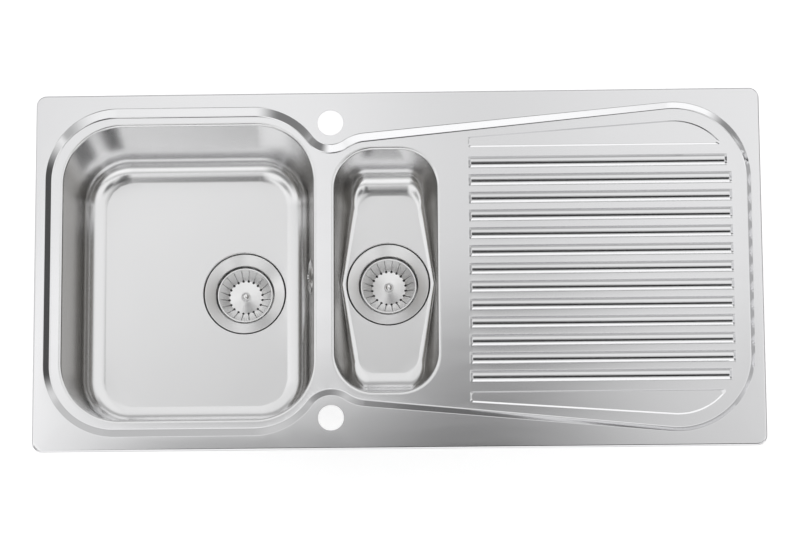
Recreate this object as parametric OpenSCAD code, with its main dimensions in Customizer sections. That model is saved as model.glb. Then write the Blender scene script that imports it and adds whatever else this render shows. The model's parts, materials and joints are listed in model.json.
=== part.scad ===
// One and a half bowl inset sink with a ribbed drainer, two basket wastes and an overflow.
// The origin is the middle of the sink on the worktop's surface, +X points to the drainer,
// +Y to the back and +Z up. The sink is the same in front and behind, so it can be turned round.

/* [Rim and deck] */
// Length of the sink, from the bowl end to the drainer end
sink_l = 1000; // [980:5:1040]
// Depth of the sink, front to back
sink_d = 500; // [495:1:510]
// Corner radius of the rim seen from above
rim_corner_r = 14; // [8:1:20]
// Height of the deck over the worktop
rim_h = 3.5; // [3.2:0.1:5]
// Radius of the rolled-down edge
rim_roll_r = 3; // [2:0.2:3]
// Thickness of the pressed sheet
sheet_t = 0.8; // [0.6:0.1:1]
// Width of the raised border at the two ends
border_end = 13.3; // [12:0.1:16]
// Width of the raised border along the front and back
border_side = 19.5; // [19:0.1:22]

/* [Step down to the wet area] */
// Drop from the raised border to the wet area
step_h = 7; // [6:0.5:10]
// Width of the step at the bowl end
step_end_w = 9.9; // [8:0.1:12]
// Width of the step behind and in front of the main bowl
step_side_w = 12.8; // [11:0.1:14]
// Width of the step round the tap holes
step_tap_w = 11.5; // [10:0.1:12.5]
// Width of the step at the drainer end
step_drainer_w = 6.8; // [5:0.1:9]
// Width of the step behind and in front of the drainer's far corners
step_corner_w = 8.5; // [7:0.1:10]
// Radius of the step at the bowl end's corners
step_corner_r = 100; // [85:1:110]
// Radius of the step where it turns in towards the tap holes
step_shoulder_r = 100; // [92:1:104]
// Radius of the step where it leaves the tap holes for the drainer
step_blend_r = 60; // [50:1:75]
// Radius of the step at the drainer's far corners
step_sweep_r = 106.7; // [95:0.1:115]

/* [Tap holes] */
// Diameter of the tap holes
tap_d = 35; // [33:0.5:37]
// Distance from a tap hole's middle to the sink's edge
tap_inset = 43.5; // [42:0.1:46]
// How far the tap holes lie from the middle of the web between the bowls
tap_shift = 9.7; // [6:0.1:13]
// Radius of the raised border round a tap hole
tap_island_r = 30.5; // [28:0.1:33]
// Angle, back from the sink's length, at which the step leaves the hollow round a tap hole
tap_leave_a = 55.3; // [53:0.1:58]

/* [Main bowl] */
// Length of the main bowl's opening
main_l = 351.5; // [320:0.5:355]
// Flat ledge between the step's foot and the main bowl, in front and behind
ledge_side_w = 8.7; // [7:0.1:12]
// Depth from the wet area to the main bowl's floor
main_h = 156; // [140:1:190]
// Corner radius of the main bowl's opening
main_r = 83.5; // [75:0.5:90]
// Draft of the main bowl's walls
main_draft = 6; // [4:0.5:8]
// Radius between the main bowl's walls and its floor
main_floor_r = 32; // [26:1:33]
// Flat ledge between the step's foot and the main bowl, at the bowl end
ledge_w = 12; // [10:0.5:16]

/* [Half bowl] */
// Flat strip of the half bowl's floor on each side of its waste
half_waste_edge = 1.4; // [0.5:0.1:6]
// Distance from the half bowl's opening to the sink's front and back
half_inset = 77; // [74:1:90]
// Depth from the wet area to the half bowl's floor
half_h = 101; // [95:1:130]
// Corner radius of the half bowl's opening
half_r = 55.5; // [48:0.5:60]
// Draft of the half bowl's side walls
half_draft = 2; // [1:0.25:2]
// Draft of the half bowl's front and back walls
half_end_draft = 8; // [5:0.5:10]
// Radius between the half bowl's side walls and its floor
half_floor_r = 7; // [5:0.5:7]
// Radius between the half bowl's end walls and its floor
half_end_floor_r = 35; // [25:1:40]
// Corner radius of the half bowl's floor
half_low_r = 28; // [22:1:34]
// How much each side of the half bowl's floor draws in towards the ends
half_waist = 18; // [10:1:20]
// Web between the two bowls' openings
web_w = 23.3; // [22:0.1:30]
// Radius that rolls each bowl's edge over
edge_roll_r = 3.2; // [2.5:0.1:4]

/* [Drainer] */
// Number of ribs
rib_count = 13; // [9:2:13]
// Width of a rib
rib_w = 16; // [12:0.5:18]
// Height of a rib
rib_h = 4; // [2.5:0.1:5]
// Flat strip between the half bowl and the ribs
rib_start = 40; // [30:1:60]
// Flat strip between the ribs and the step at the drainer end
rib_stop = 19; // [15:1:30]
// How much shorter the first and the last rib are
rib_short = 6; // [0:1:10]
// Height of the two raised corner panels
panel_h = 1.6; // [1.2:0.1:2.5]
// Distance from a corner panel's straight edge to the sink's front or back
panel_side = 79; // [74:0.5:84]
// Gap between the last rib and the corner panel beside it
panel_gap = 13; // [8:0.5:18]
// Gap between a corner panel and the step's foot
panel_inset = 16; // [14:0.5:18]
// Radius of a corner panel's tip and corners
panel_tip_r = 3; // [2:0.5:4]

/* [Wastes] */
// Inner diameter of a waste's steel cup
cup_d = 83.2; // [78:0.1:86]
// Width of the sloped flange round the cup
flange_w = 15.1; // [14:0.1:17]
// Gap between a flange and the edge of the pressed recess that it lies in
recess_gap = 2.3; // [1.8:0.1:4]
// Depth of the recess's edge
recess_h = 3; // [2.5:0.1:4]
// Gap between a cup and the hole in the bowl's floor
hole_gap = 2.6; // [1.5:0.1:3.5]
// Fall of the seat between the recess's edge and the hole
seat_fall = 6; // [5:0.2:7]
// Depth of the cup's floor under the bowl's floor
cup_h = 38; // [36:1:44]
// Thickness of the wastes' steel
waste_t = 0.8; // [0.6:0.1:1]
// Gap between the main waste's recess and the floor's rounded edge
waste_edge = 0.8; // [0.5:0.1:3]
// Gap between a basket's rim and the cup
basket_gap = 2.4; // [1.5:0.1:3.5]
// Depth of a basket's rim under the bowl's floor
basket_rim_z = 13; // [11:0.5:15]
// Height of the rubber disc under a basket
disc_h = 7.1; // [6:0.1:8]
// Diameter of a basket's raised middle
hub_d = 47.2; // [44:0.2:50]
// Number of slots in a basket
slot_count = 20; // [16:1:24]
// Width of a basket's slots
slot_w = 0.9; // [0.6:0.1:1.4]
// Diameter of the hole at the inner end of each slot
slot_hole_d = 2.6; // [2:0.1:3]
// Diameter of the knob
knob_d = 13; // [12:0.5:15]
// Height of the knob
knob_h = 7.5; // [6:0.5:9]
// Diameter of a waste's screwed outlet
outlet_d = 47.8; // [47.8:0.1:48.4]
// Length of a waste's screwed outlet
outlet_l = 30; // [22:1:40]
// Wall of the plastic waste bodies
body_t = 3; // [2.5:0.1:4]
// Thickness of the gaskets under the steel flanges
top_gasket_t = 1.2; // [1:0.1:1.6]
// Thickness of the gaskets under the bowls
low_gasket_t = 3; // [2:0.5:5]

/* [Overflow] */
// Depth of the overflow under the wet area
overflow_z = 45; // [40:1:60]
// Diameter of the overflow plate
overflow_d = 50; // [46:1:56]
// Diameter of the overflow hole in the bowl's wall
overflow_hole_d = 28; // [24:1:30]
// Height of the overflow hose's ribs
hose_rib_h = 0.9; // [0.6:0.1:1.5]
// Distance from rib to rib on the hose
hose_pitch = 4; // [3.5:0.25:6]
// Outer diameter of the spigots that the hose fits over
spigot_d = 16; // [14:0.5:16]
// Radius of the hose's bend
hose_bend_r = 30; // [28:1:36]
// Distance from the bowl's wall to the middle of the hose
hose_off = 14.5; // [13.5:0.1:16]

/* [Fixing] */
// Distance from a rail's ends to the sink's ends
rail_inset = 80; // [70:5:100]
// Height of a clip rail
rail_h = 14.7; // [12:0.1:18]
// Thickness of the rails, brackets and claws
strap_t = 1.2; // [1:0.1:1.5]
// Thickest worktop that the claws pass under
worktop_t = 40; // [28:1:45]
// Reach of a claw from its screw
claw_l = 34; // [28:1:40]
// Diameter of the clip screws
clip_screw_d = 5; // [4:0.5:6]
// Places of the clips nearest the bowl end, from that end
clip_a = 120; // [100:5:140]
// Places of the second clips, from the bowl end
clip_b = 300; // [270:5:320]
// Places of the third clips, from the drainer end
clip_c = 380; // [320:5:420]
// Places of the clips nearest the drainer end, from that end
clip_d = 140; // [110:5:180]
// Width of the foam seal under the rim
seal_w = 7; // [5:0.5:8]
// Gap from the rim's edge to the foam seal
seal_inset = 4; // [3:0.5:6]

/* [Hidden] */
$fn = 96;

steel = [0.78, 0.78, 0.77];
bright_steel = [0.86, 0.86, 0.85];
zinc = [0.66, 0.67, 0.68];
plastic = [0.9, 0.9, 0.88];
rubber = [0.12, 0.12, 0.12];
foam = [0.3, 0.3, 0.31];
brass = [0.75, 0.6, 0.3];

// Clearance round what moves, clearance of what is pushed together, and how far a cut runs past
rest_gap = 0.3;
fit_gap = 0.1;
cut = 1;

// How far a wall has come in at a depth z: the rolled edge, the drafted wall, the floor's radius
function wall_in(z, h, floor_r, draft) =
    let (
        arc_top = h - floor_r + floor_r * sin(draft),
        foot = edge_roll_r + (arc_top - edge_roll_r) * tan(draft) + floor_r * cos(draft)
    )
    z < edge_roll_r ? sqrt(max(0, pow(edge_roll_r, 2) - pow(edge_roll_r - z, 2)))
    : z < arc_top ? edge_roll_r + (z - edge_roll_r) * tan(draft)
    : foot - sqrt(max(0, pow(floor_r, 2) - pow(z - h + floor_r, 2)));
function floor_in(h, floor_r, draft) = wall_in(h, h, floor_r, draft);

// Levels
wet_z = rim_h - step_h;
wet_under = wet_z - sheet_t;
deck_under = rim_h - sheet_t;
main_z = wet_z - main_h;
half_z = wet_z - half_h;

// Sizes of the bowls and of the wastes' rings
flange_d = cup_d + 2 * flange_w;
recess_d = flange_d + 2 * recess_gap;
waste_hole_d = cup_d + 2 * (waste_t + hole_gap);
main_d = sink_d - 2 * (border_side + step_side_w + ledge_side_w);
half_d = sink_d - 2 * half_inset;
half_l = recess_d + 2 * (half_waste_edge + floor_in(half_h, half_floor_r, half_draft));

// Places along the sink
left_x = -sink_l / 2;
right_x = sink_l / 2;
top_left = left_x + border_end;
top_right = right_x - border_end;
top_back = sink_d / 2 - border_side;
main_left = top_left + step_end_w + ledge_w;
main_right = main_left + main_l;
main_x = (main_left + main_right) / 2;
half_left = main_right + web_w;
half_right = half_left + half_l;
half_x = (half_left + half_right) / 2;
tap_x = (main_right + half_left) / 2 + tap_shift;
tap_y = sink_d / 2 - tap_inset;
foot_right = top_right - step_drainer_w;
foot_sweep_top = top_back - step_corner_w;
foot_sweep_r = step_sweep_r - (step_drainer_w + step_corner_w) / 2;

// Point counts of the pressed outlines
corner_n = 10;
shoulder_n = 7;
island_n = 12;
blend_n = 5;
sweep_n = 14;

// The step's profile: how far across, and how far down
step_profile = [[0, 0], [0.08, 0.03], [0.2, 0.14], [0.55, 0.62], [0.8, 0.92], [1, 1]];

function rnd(v) = round(v * 100) / 100;
function rnd_all(points) = [for (p = points) [rnd(p.x), rnd(p.y)]];
function arc(c, r, a0, a1, n, first = 0) =
    [for (i = [first:n]) c + r * [cos(a0 + (a1 - a0) * i / n), sin(a0 + (a1 - a0) * i / n)]];
function mirror_close(half) =
    concat(half, [for (i = [len(half) - 2:-1:1]) [half[i].x, -half[i].y]]);
function lerp(a, b, t) = a + (b - a) * t;

// The blend that leaves a tap hole's hollow, and the slanted side, which touches the blend and the
// far corner's arc
tap_at = [tap_x, tap_y];
blend_at = tap_at + (tap_island_r + step_blend_r) * [cos(tap_leave_a), -sin(tap_leave_a)];
function slant_of(blend_r, sweep, sweep_r) =
    let (run = sweep - blend_at)
    atan2(run.y, run.x) - asin((blend_r - sweep_r) / norm(run));
function across_of(slant) = [-sin(slant), cos(slant)];

// The back half of the wet area's outline, from the bowl end to the drainer end: a corner, a
// shoulder, the hollow round the tap hole, a blend, the slanted side and the far corner.
function wet_half(left, back, corner_r, shoulder_r, island_r, blend_r, right, sweep_r, sweep_top) =
    let (
        shoulder_y = back - shoulder_r,
        shoulder_run = sqrt(pow(shoulder_r + island_r, 2) - pow(tap_y - shoulder_y, 2)),
        shoulder = [tap_x - shoulder_run, shoulder_y],
        turn_a = atan2(tap_y - shoulder.y, tap_x - shoulder.x),
        sweep = [right - sweep_r, sweep_top - sweep_r],
        slant = slant_of(blend_r, sweep, sweep_r)
    )
    concat(
        [[left, 0]],
        arc([left + corner_r, back - corner_r], corner_r, 180, 90, corner_n),
        arc(shoulder, shoulder_r, 90, turn_a, shoulder_n),
        arc(tap_at, island_r, turn_a + 180, 360 - tap_leave_a, island_n, 1),
        arc(blend_at, blend_r, 180 - tap_leave_a, 90 + slant, blend_n, 1),
        arc(sweep, sweep_r, 90 + slant, 0, sweep_n),
        [[right, 0]]
    );

step_top = rnd_all(mirror_close(wet_half(
    top_left, top_back, step_corner_r, step_shoulder_r, tap_island_r, step_blend_r,
    top_right, step_sweep_r, top_back)));
step_foot = rnd_all(mirror_close(wet_half(
    top_left + step_end_w, top_back - step_side_w, step_corner_r - (step_end_w + step_side_w) / 2,
    step_shoulder_r - step_tap_w, tap_island_r + step_tap_w, step_blend_r - step_tap_w,
    foot_right, foot_sweep_r, foot_sweep_top)));

// A ring of the step at a point p of its profile, lowered by a thickness
function step_ring(p, lower) =
    lift(rnd_all(lerp(step_top, step_foot, p.x)), rim_h - step_h * p.y - lower);

// Points of a bowl's ring: half sizes a and b, corner radius r, and how much the sides draw in
side_n = 3;
bowl_corner_n = 10;
function bowl_ring(c, a, b, r, waist) =
    let (
        quarter = concat(
            [for (i = [0:side_n - 1]) [a, (b - r) * i / side_n]],
            arc([a - r, b - r], r, 0, 90, bowl_corner_n)
        ),
        drawn = [for (p = quarter) [p.x * (1 - waist / a * min(1, p.y / (b - r))), p.y]],
        right_half = concat([for (i = [len(drawn) - 1:-1:1]) [drawn[i].x, -drawn[i].y]], drawn),
        left_half = [for (i = [len(right_half) - 1:-1:0]) [-right_half[i].x, right_half[i].y]]
    )
    rnd_all([for (p = concat(right_half, left_half)) c + p]);

// Depths of a bowl's rings, closer together at the edge and at the floor's radius. The small
// radius is a side wall's and the big one an end wall's, where the two differ.
ring_gap = 1;
roll_steps = [0, 30, 60, 90];
floor_steps = [0, 15, 30, 45, 60, 75, 90];
function ring_depths(h, big_r, small_r) =
    concat(
        [for (a = roll_steps) edge_roll_r * (1 - cos(a))],
        [lerp(edge_roll_r, h - big_r, 0.5)],
        [for (a = floor_steps) if (big_r * (1 - sin(a)) > small_r + ring_gap) h - big_r * (1 - sin(a))],
        [for (a = floor_steps) h - small_r * (1 - sin(a))]
    );

main_depths = ring_depths(main_h, main_floor_r, main_floor_r);
half_depths = ring_depths(half_h, half_end_floor_r, half_floor_r);

function main_ring(z, grow) =
    let (in = wall_in(z, main_h, main_floor_r, main_draft) - grow)
    bowl_ring([main_x, 0], main_l / 2 - in, main_d / 2 - in, main_r - in, 0);
function half_ring(z, grow) =
    let (
        side_in = wall_in(z, half_h, half_floor_r, half_draft) - grow,
        end_in = wall_in(z, half_h, half_end_floor_r, half_end_draft) - grow,
        deep = z / half_h,
        r = lerp(half_r, half_low_r, deep) + grow
    )
    bowl_ring([half_x, 0], half_l / 2 - side_in, half_d / 2 - end_in, r, half_waist * deep * deep);

// Joins rings of points into a closed skin with a flat cap at each end
module skin(rings) {
    n = len(rings[0]);
    last = len(rings) - 1;
    sides = [for (k = [0:last - 1], i = [0:n - 1]) each
        [[k * n + i, (k + 1) * n + i, k * n + (i + 1) % n],
         [k * n + (i + 1) % n, (k + 1) * n + i, (k + 1) * n + (i + 1) % n]]];
    polyhedron(
        points = [for (ring = rings) each ring],
        faces = concat(
            sides,
            [[for (i = [0:n - 1]) i]],
            [[for (i = [n - 1:-1:0]) last * n + i]]
        )
    );
}

// Joins rings of points into a band that closes on itself
module band(rings) {
    n = len(rings[0]);
    m = len(rings);
    polyhedron(
        points = [for (ring = rings) each ring],
        faces = [for (k = [0:m - 1], i = [0:n - 1]) each
            [[k * n + i, k * n + (i + 1) % n, ((k + 1) % m) * n + i],
             [k * n + (i + 1) % n, ((k + 1) % m) * n + (i + 1) % n, ((k + 1) % m) * n + i]]]
    );
}

function lift(points, z) = [for (p = points) [p.x, p.y, rnd(z)]];

// A rectangle with round corners, centred
module round_rect(l, d, r) {
    square([l, d - 2 * r], center = true);
    square([l - 2 * r, d], center = true);
    for (x = [-1, 1], y = [-1, 1]) {
        translate([x * (l / 2 - r), y * (d / 2 - r)]) circle(r);
    }
}

// The rolled edge's section: the quarter roll and the short upright under it
module rim_section() {
    translate([-rim_roll_r, rim_h - rim_roll_r]) intersection() {
        difference() {
            circle(rim_roll_r);
            circle(rim_roll_r - sheet_t);
        }
        square(rim_roll_r);
    }
    translate([-sheet_t, 0]) square([sheet_t, rim_h - rim_roll_r]);
}

module rim_roll() {
    for (turn = [0, 180]) rotate(turn) {
        translate([sink_l / 2, sink_d / 2 - rim_corner_r, 0]) rotate([90, 0, 0])
            linear_extrude(sink_d - 2 * rim_corner_r) rim_section();
        translate([-sink_l / 2 + rim_corner_r, sink_d / 2, 0]) rotate([90, 0, 90])
            linear_extrude(sink_l - 2 * rim_corner_r) rim_section();
        for (side = [0, 1]) mirror([0, side, 0])
            translate([sink_l / 2 - rim_corner_r, sink_d / 2 - rim_corner_r, 0])
            rotate_extrude(angle = 90) translate([rim_corner_r, 0]) rim_section();
    }
}

// Ribs: a bar with a round back, cut at the sheet's underside
rib_r = (pow(rib_w / 2, 2) + pow(rib_h, 2)) / (2 * rib_h);
rib_x0 = half_right + rib_start;
rib_x1 = foot_right - rib_stop;
panel_y = sink_d / 2 - panel_side;
rib_y_max = panel_y - panel_gap - rib_w / 2;
rib_pitch = 2 * rib_y_max / (rib_count - 1);
function rib_y(i) = (i - (rib_count - 1) / 2) * rib_pitch;
function rib_end(i) = rib_x1 - (i == 0 || i == rib_count - 1 ? rib_short : 0);

module rib_back(x0, x1, r) {
    translate([x0, 0, wet_z + rib_h - rib_r]) rotate([0, 90, 0]) cylinder(r = r, h = x1 - x0);
}

module rib(i) {
    translate([0, rib_y(i), 0]) difference() {
        intersection() {
            rib_back(rib_x0, rib_end(i), rib_r);
            translate([rib_x0, -rib_w / 2, wet_under]) cube([rib_end(i) - rib_x0, rib_w, 2 * rib_h]);
        }
        intersection() {
            rib_back(rib_x0 + sheet_t, rib_end(i) - sheet_t, rib_r - sheet_t);
            translate([rib_x0, -rib_w / 2, wet_under - cut])
                cube([rib_end(i) - rib_x0, rib_w, 2 * rib_h]);
        }
    }
}

// Outline of a corner panel, drawn in by some amount
function panel_outline(in) =
    let (
        sweep = [foot_right - foot_sweep_r, foot_sweep_top - foot_sweep_r],
        slant = slant_of(step_blend_r, sweep, foot_sweep_r),
        r = foot_sweep_r - panel_inset - in,
        low = panel_y + in,
        x0 = rib_x0 + in,
        tip_r = panel_tip_r,
        across = across_of(slant),
        side = across * sweep + r,
        corner = [x0 + tip_r, (side - tip_r - across.x * (x0 + tip_r)) / across.y],
        tip = [sweep.x + sqrt(pow(r - tip_r, 2) - pow(low + tip_r - sweep.y, 2)), low + tip_r],
        tip_a = atan2(tip.y - sweep.y, tip.x - sweep.x)
    )
    rnd_all(concat(
        arc([x0 + tip_r, low + tip_r], tip_r, 270, 180, 4),
        arc(corner, tip_r, 180, 90 + slant, 4),
        arc(sweep, r, 90 + slant, tip_a, 12),
        arc(tip, tip_r, tip_a, -90, 6, 1)
    ));

module panel_shell() {
    difference() {
        translate([0, 0, wet_under]) linear_extrude(panel_h + sheet_t) polygon(panel_outline(0));
        translate([0, 0, wet_under - cut])
            linear_extrude(panel_h + cut) polygon(panel_outline(sheet_t));
    }
}

// What the bowls, the ribs and the panels take out of the wet area's flat sheet
wet_cut_h = sheet_t + 2 * cut;
module wet_cuts() translate([0, 0, wet_under - cut]) {
    linear_extrude(wet_cut_h) polygon(main_ring(0, 0));
    linear_extrude(wet_cut_h) polygon(half_ring(0, 0));
    for (side = [0, 1]) mirror([0, side, 0]) linear_extrude(wet_cut_h) polygon(panel_outline(sheet_t / 2));
    for (i = [0:rib_count - 1]) {
        translate([rib_x0 + sheet_t / 2, rib_y(i) - rib_w / 2 + sheet_t / 2, 0])
            cube([rib_end(i) - rib_x0 - sheet_t, rib_w - sheet_t, wet_cut_h]);
    }
}

module deck() color(steel) {
    rim_roll();
    difference() {
        translate([0, 0, deck_under]) linear_extrude(sheet_t)
            round_rect(sink_l - 2 * rim_roll_r, sink_d - 2 * rim_roll_r, rim_corner_r - rim_roll_r);
        translate([0, 0, deck_under - cut])
            linear_extrude(sheet_t + 2 * cut) polygon(step_top);
        for (side = [-1, 1]) {
            translate([tap_x, side * tap_y, deck_under - cut]) cylinder(d = tap_d, h = sheet_t + 2 * cut);
        }
    }
    band(concat(
        [for (p = step_profile) step_ring(p, 0)],
        [for (i = [len(step_profile) - 1:-1:0]) step_ring(step_profile[i], sheet_t)]
    ));
    difference() {
        translate([0, 0, wet_under]) linear_extrude(sheet_t) polygon(step_foot);
        wet_cuts();
    }
    for (i = [0:rib_count - 1]) rib(i);
    for (side = [0, 1]) mirror([0, side, 0]) panel_shell();
}

// Wastes

recess_r = recess_d / 2;
recess_wall = 1.5;
hole_r = waste_hole_d / 2;
seat_r = recess_r - recess_wall;
seat_slope = seat_fall / (seat_r - hole_r);
function seat_z(r) = -recess_h - (seat_r - r) * seat_slope;
flange_r = flange_d / 2;
cup_r = cup_d / 2;
main_waste_x = main_right - floor_in(main_h, main_floor_r, main_draft) - waste_edge - recess_r;
half_waste_x = half_x;

// The pressed seat in a bowl's floor, from the recess's edge to the hole
module waste_seat() {
    rotate_extrude() polygon([
        [recess_r, 0], [seat_r, -recess_h], [hole_r, seat_z(hole_r)],
        [hole_r, seat_z(hole_r) - sheet_t], [seat_r, -recess_h - sheet_t], [recess_r, -sheet_t],
    ]);
}

// A bowl's shell with its seat, at the waste's place
module bowl(x, z) {
    difference() {
        children();
        translate([x, 0, z - 2 * sheet_t]) cylinder(r = recess_r, h = 4 * sheet_t);
    }
    translate([x, 0, z]) waste_seat();
}

// The wall's outside lies one sheet thickness from its inside: the way there turns from down at the
// rolled edge to outward along the wall, and to down again at the floor
function sheet_turn(z, h, floor_r) =
    z < edge_roll_r ? asin(1 - z / edge_roll_r)
    : z < h - floor_r ? 0
    : asin(min(1, (z - h + floor_r) / floor_r));
function under_grow(z, h, floor_r) = sheet_t * cos(sheet_turn(z, h, floor_r));
function under_drop(z, h, floor_r) = sheet_t * sin(sheet_turn(z, h, floor_r));

module main_shell() {
    skin(concat(
        [for (i = [len(main_depths) - 1:-1:0])
            lift(main_ring(main_depths[i], under_grow(main_depths[i], main_h, main_floor_r)),
                wet_z - main_depths[i] - under_drop(main_depths[i], main_h, main_floor_r))],
        [for (d = main_depths) lift(main_ring(d, 0), wet_z - d)]
    ));
}

module half_shell() {
    skin(concat(
        [for (i = [len(half_depths) - 1:-1:0])
            lift(half_ring(half_depths[i], under_grow(half_depths[i], half_h, half_floor_r)),
                wet_z - half_depths[i] - under_drop(half_depths[i], half_h, half_floor_r))],
        [for (d = half_depths) lift(half_ring(d, 0), wet_z - d)]
    ));
}

module main_bowl() color(steel) difference() {
    bowl(main_waste_x, main_z) main_shell();
    at_overflow() translate([0, 0, -sheet_t - cut]) cylinder(d = overflow_hole_d, h = sheet_t + 2 * cut);
}

module half_bowl() color(steel) bowl(half_waste_x, half_z) half_shell();

// The steel cup: a sloped flange over the gasket, a wall and a floor with drain holes
cup_floor_r = 3;
drain_n = 6;
drain_d = 11;
drain_r = 15;
stud_d = 6;
function flange_under(r) = seat_z(r) + top_gasket_t;

module waste_flange() color(bright_steel) difference() {
    rotate_extrude() polygon([
        [flange_r, flange_under(flange_r)],
        [flange_r, flange_under(flange_r) + waste_t],
        [cup_r, flange_under(cup_r) + waste_t],
        [cup_r, -cup_h + cup_floor_r],
        [cup_r - cup_floor_r, -cup_h],
        [0, -cup_h],
        [0, -cup_h - waste_t],
        [cup_r - cup_floor_r, -cup_h - waste_t],
        [cup_r + waste_t, -cup_h + cup_floor_r],
        [cup_r + waste_t, flange_under(cup_r + waste_t)],
    ]);
    for (i = [0:drain_n - 1]) rotate(360 / drain_n * (i + 0.5)) {
        translate([drain_r, 0, -cup_h - waste_t - cut]) cylinder(d = drain_d, h = waste_t + 2 * cut);
    }
    translate([0, 0, -cup_h - waste_t - cut]) cylinder(d = stud_d + 2 * rest_gap, h = waste_t + 2 * cut);
}

top_gasket_in = hole_r + 1;
top_gasket_out = flange_r - 0.7;

module top_gasket() color(rubber) rotate_extrude() polygon([
    [top_gasket_in, seat_z(top_gasket_in)],
    [top_gasket_out, seat_z(top_gasket_out)],
    [top_gasket_out, flange_under(top_gasket_out)],
    [top_gasket_in, flange_under(top_gasket_in)],
]);

low_gasket_z = seat_z(hole_r) - sheet_t - low_gasket_t;
low_gasket_in = hole_r + 2;
low_gasket_out = seat_r - 1.5;

module low_gasket() color(rubber) rotate_extrude() polygon([
    [low_gasket_in, low_gasket_z],
    [low_gasket_out, low_gasket_z],
    [low_gasket_out, seat_z(low_gasket_out) - sheet_t],
    [low_gasket_in, seat_z(low_gasket_in) - sheet_t],
]);

// The plastic body: a flange, a chamber round the cup, a funnel, the outlet and the nut's boss,
// which four webs carry in the funnel
body_in_r = cup_r + waste_t + 1;
body_out_r = body_in_r + body_t;
body_flange_r = low_gasket_out + 1;
body_flange_t = 4;
chamber_z = -cup_h - 20;
funnel_h = 16;
funnel_t = 2;
thread_t = 1.4;
outlet_z = chamber_z - funnel_h - funnel_t;
outlet_end = outlet_z - outlet_l;
outlet_in_r = outlet_d / 2 - body_t - thread_t;
boss_r = 9;
boss_top = chamber_z + 2;
boss_end = chamber_z - funnel_h + 2;
web_top = chamber_z - 4;
nut_r = 6.5;
nut_h = 6;
spigot_t = 2;
inlet_z = -cup_h - 12;
inlet_end = body_out_r + 22;
function funnel_r(z) =
    lerp(body_in_r + body_out_r, outlet_in_r + outlet_d / 2, (chamber_z - funnel_t / 2 - z) / funnel_h) / 2;

module waste_body(inlet) color(plastic) difference() {
    union() {
        rotate_extrude() polygon([
            [body_in_r, low_gasket_z],
            [body_flange_r, low_gasket_z],
            [body_flange_r, low_gasket_z - body_flange_t],
            [body_out_r, low_gasket_z - body_flange_t],
            [body_out_r, chamber_z - funnel_t],
            [outlet_d / 2, outlet_z],
            [outlet_d / 2, outlet_end],
            [outlet_in_r, outlet_end],
            [outlet_in_r, chamber_z - funnel_h],
            [body_in_r, chamber_z],
        ]);
        translate([0, 0, boss_end]) cylinder(r = boss_r, h = boss_top - boss_end);
        for (turn = [0, 90]) rotate([90, 0, turn]) {
            translate([0, 0, -body_t / 2]) linear_extrude(body_t) polygon([
                [funnel_r(web_top), web_top], [-funnel_r(web_top), web_top],
                [-funnel_r(boss_end), boss_end], [funnel_r(boss_end), boss_end],
            ]);
        }
        if (inlet) {
            translate([body_out_r - body_t / 2, 0, inlet_z]) rotate([0, 90, 0])
                cylinder(d = spigot_d, h = inlet_end - body_out_r + body_t / 2);
        }
    }
    translate([0, 0, boss_end - cut])
        cylinder(d = stud_d + 2 * rest_gap, h = boss_top - boss_end + 2 * cut);
    translate([0, 0, boss_end - cut]) cylinder(r = nut_r + fit_gap, h = nut_h + cut, $fn = 6);
    if (inlet) {
        translate([body_in_r - body_t, 0, inlet_z]) rotate([0, 90, 0])
            cylinder(d = spigot_d - 2 * spigot_t, h = inlet_end - body_in_r + body_t + cut);
    }
}

module waste_nut() color(brass) translate([0, 0, boss_end]) difference() {
    cylinder(r = nut_r, h = nut_h - fit_gap, $fn = 6);
    translate([0, 0, -cut]) cylinder(d = stud_d + 2 * fit_gap, h = nut_h + 2 * cut);
}

// The screw through the cup's middle: its tall head is the socket of the basket's stem
head_r = 8;
head_h = 5;
stem_d = 6;
socket_h = 4.6;

module waste_screw() color(bright_steel) difference() {
    union() {
        translate([0, 0, -cup_h]) cylinder(r = head_r, h = head_h);
        translate([0, 0, boss_end]) cylinder(d = stud_d, h = -cup_h - boss_end);
    }
    translate([0, 0, -cup_h + head_h - socket_h]) cylinder(d = stem_d + 2 * rest_gap, h = socket_h + cut);
}

// The basket: a rim, a slotted cone and a raised middle
basket_r = cup_r - basket_gap;
basket_lip = 1.8;
basket_lean = 0.6;
hub_r = hub_d / 2;
basket_foot = -cup_h + rest_gap + disc_h + waste_t;
basket_h = -basket_rim_z - basket_foot;
hub_rise = 2.8;
hub_flat_r = 8;
slot_end = basket_r - basket_lip - 1;

module basket() color(bright_steel) difference() {
    rotate_extrude() polygon([
        [basket_r, -basket_rim_z],
        [basket_r - basket_lip, -basket_rim_z],
        [hub_r, basket_foot],
        [hub_flat_r, basket_foot + hub_rise],
        [0, basket_foot + hub_rise],
        [0, basket_foot + hub_rise - waste_t],
        [hub_flat_r, basket_foot + hub_rise - waste_t],
        [hub_r, basket_foot - waste_t],
        [basket_r - basket_lip + basket_lean, -basket_rim_z - waste_t],
        [basket_r, -basket_rim_z - waste_t],
    ]);
    for (i = [0:slot_count - 1]) rotate(360 / slot_count * (i + 0.5)) {
        translate([hub_r, -slot_w / 2, basket_foot - waste_t - cut])
            cube([slot_end - hub_r, slot_w, basket_h + waste_t + cut]);
        translate([hub_r, 0, basket_foot - waste_t - cut]) cylinder(d = slot_hole_d, h = hub_rise + 2 * cut);
    }
    translate([0, 0, basket_foot]) cylinder(d = stem_d + 2 * fit_gap, h = 2 * hub_rise);
}

knob_edge = 1;
knob_foot = 2;
knob_profile = concat(
    [[0, 0], [knob_d / 2 - knob_edge, 0], [knob_d / 2, knob_edge]],
    [for (a = [0:7.5:90]) [knob_d / 2 * cos(a), knob_foot + (knob_h - knob_foot) * sin(a)]]
);
module knob() color(bright_steel)
    translate([0, 0, basket_foot + hub_rise]) rotate_extrude() polygon(knob_profile);

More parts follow.
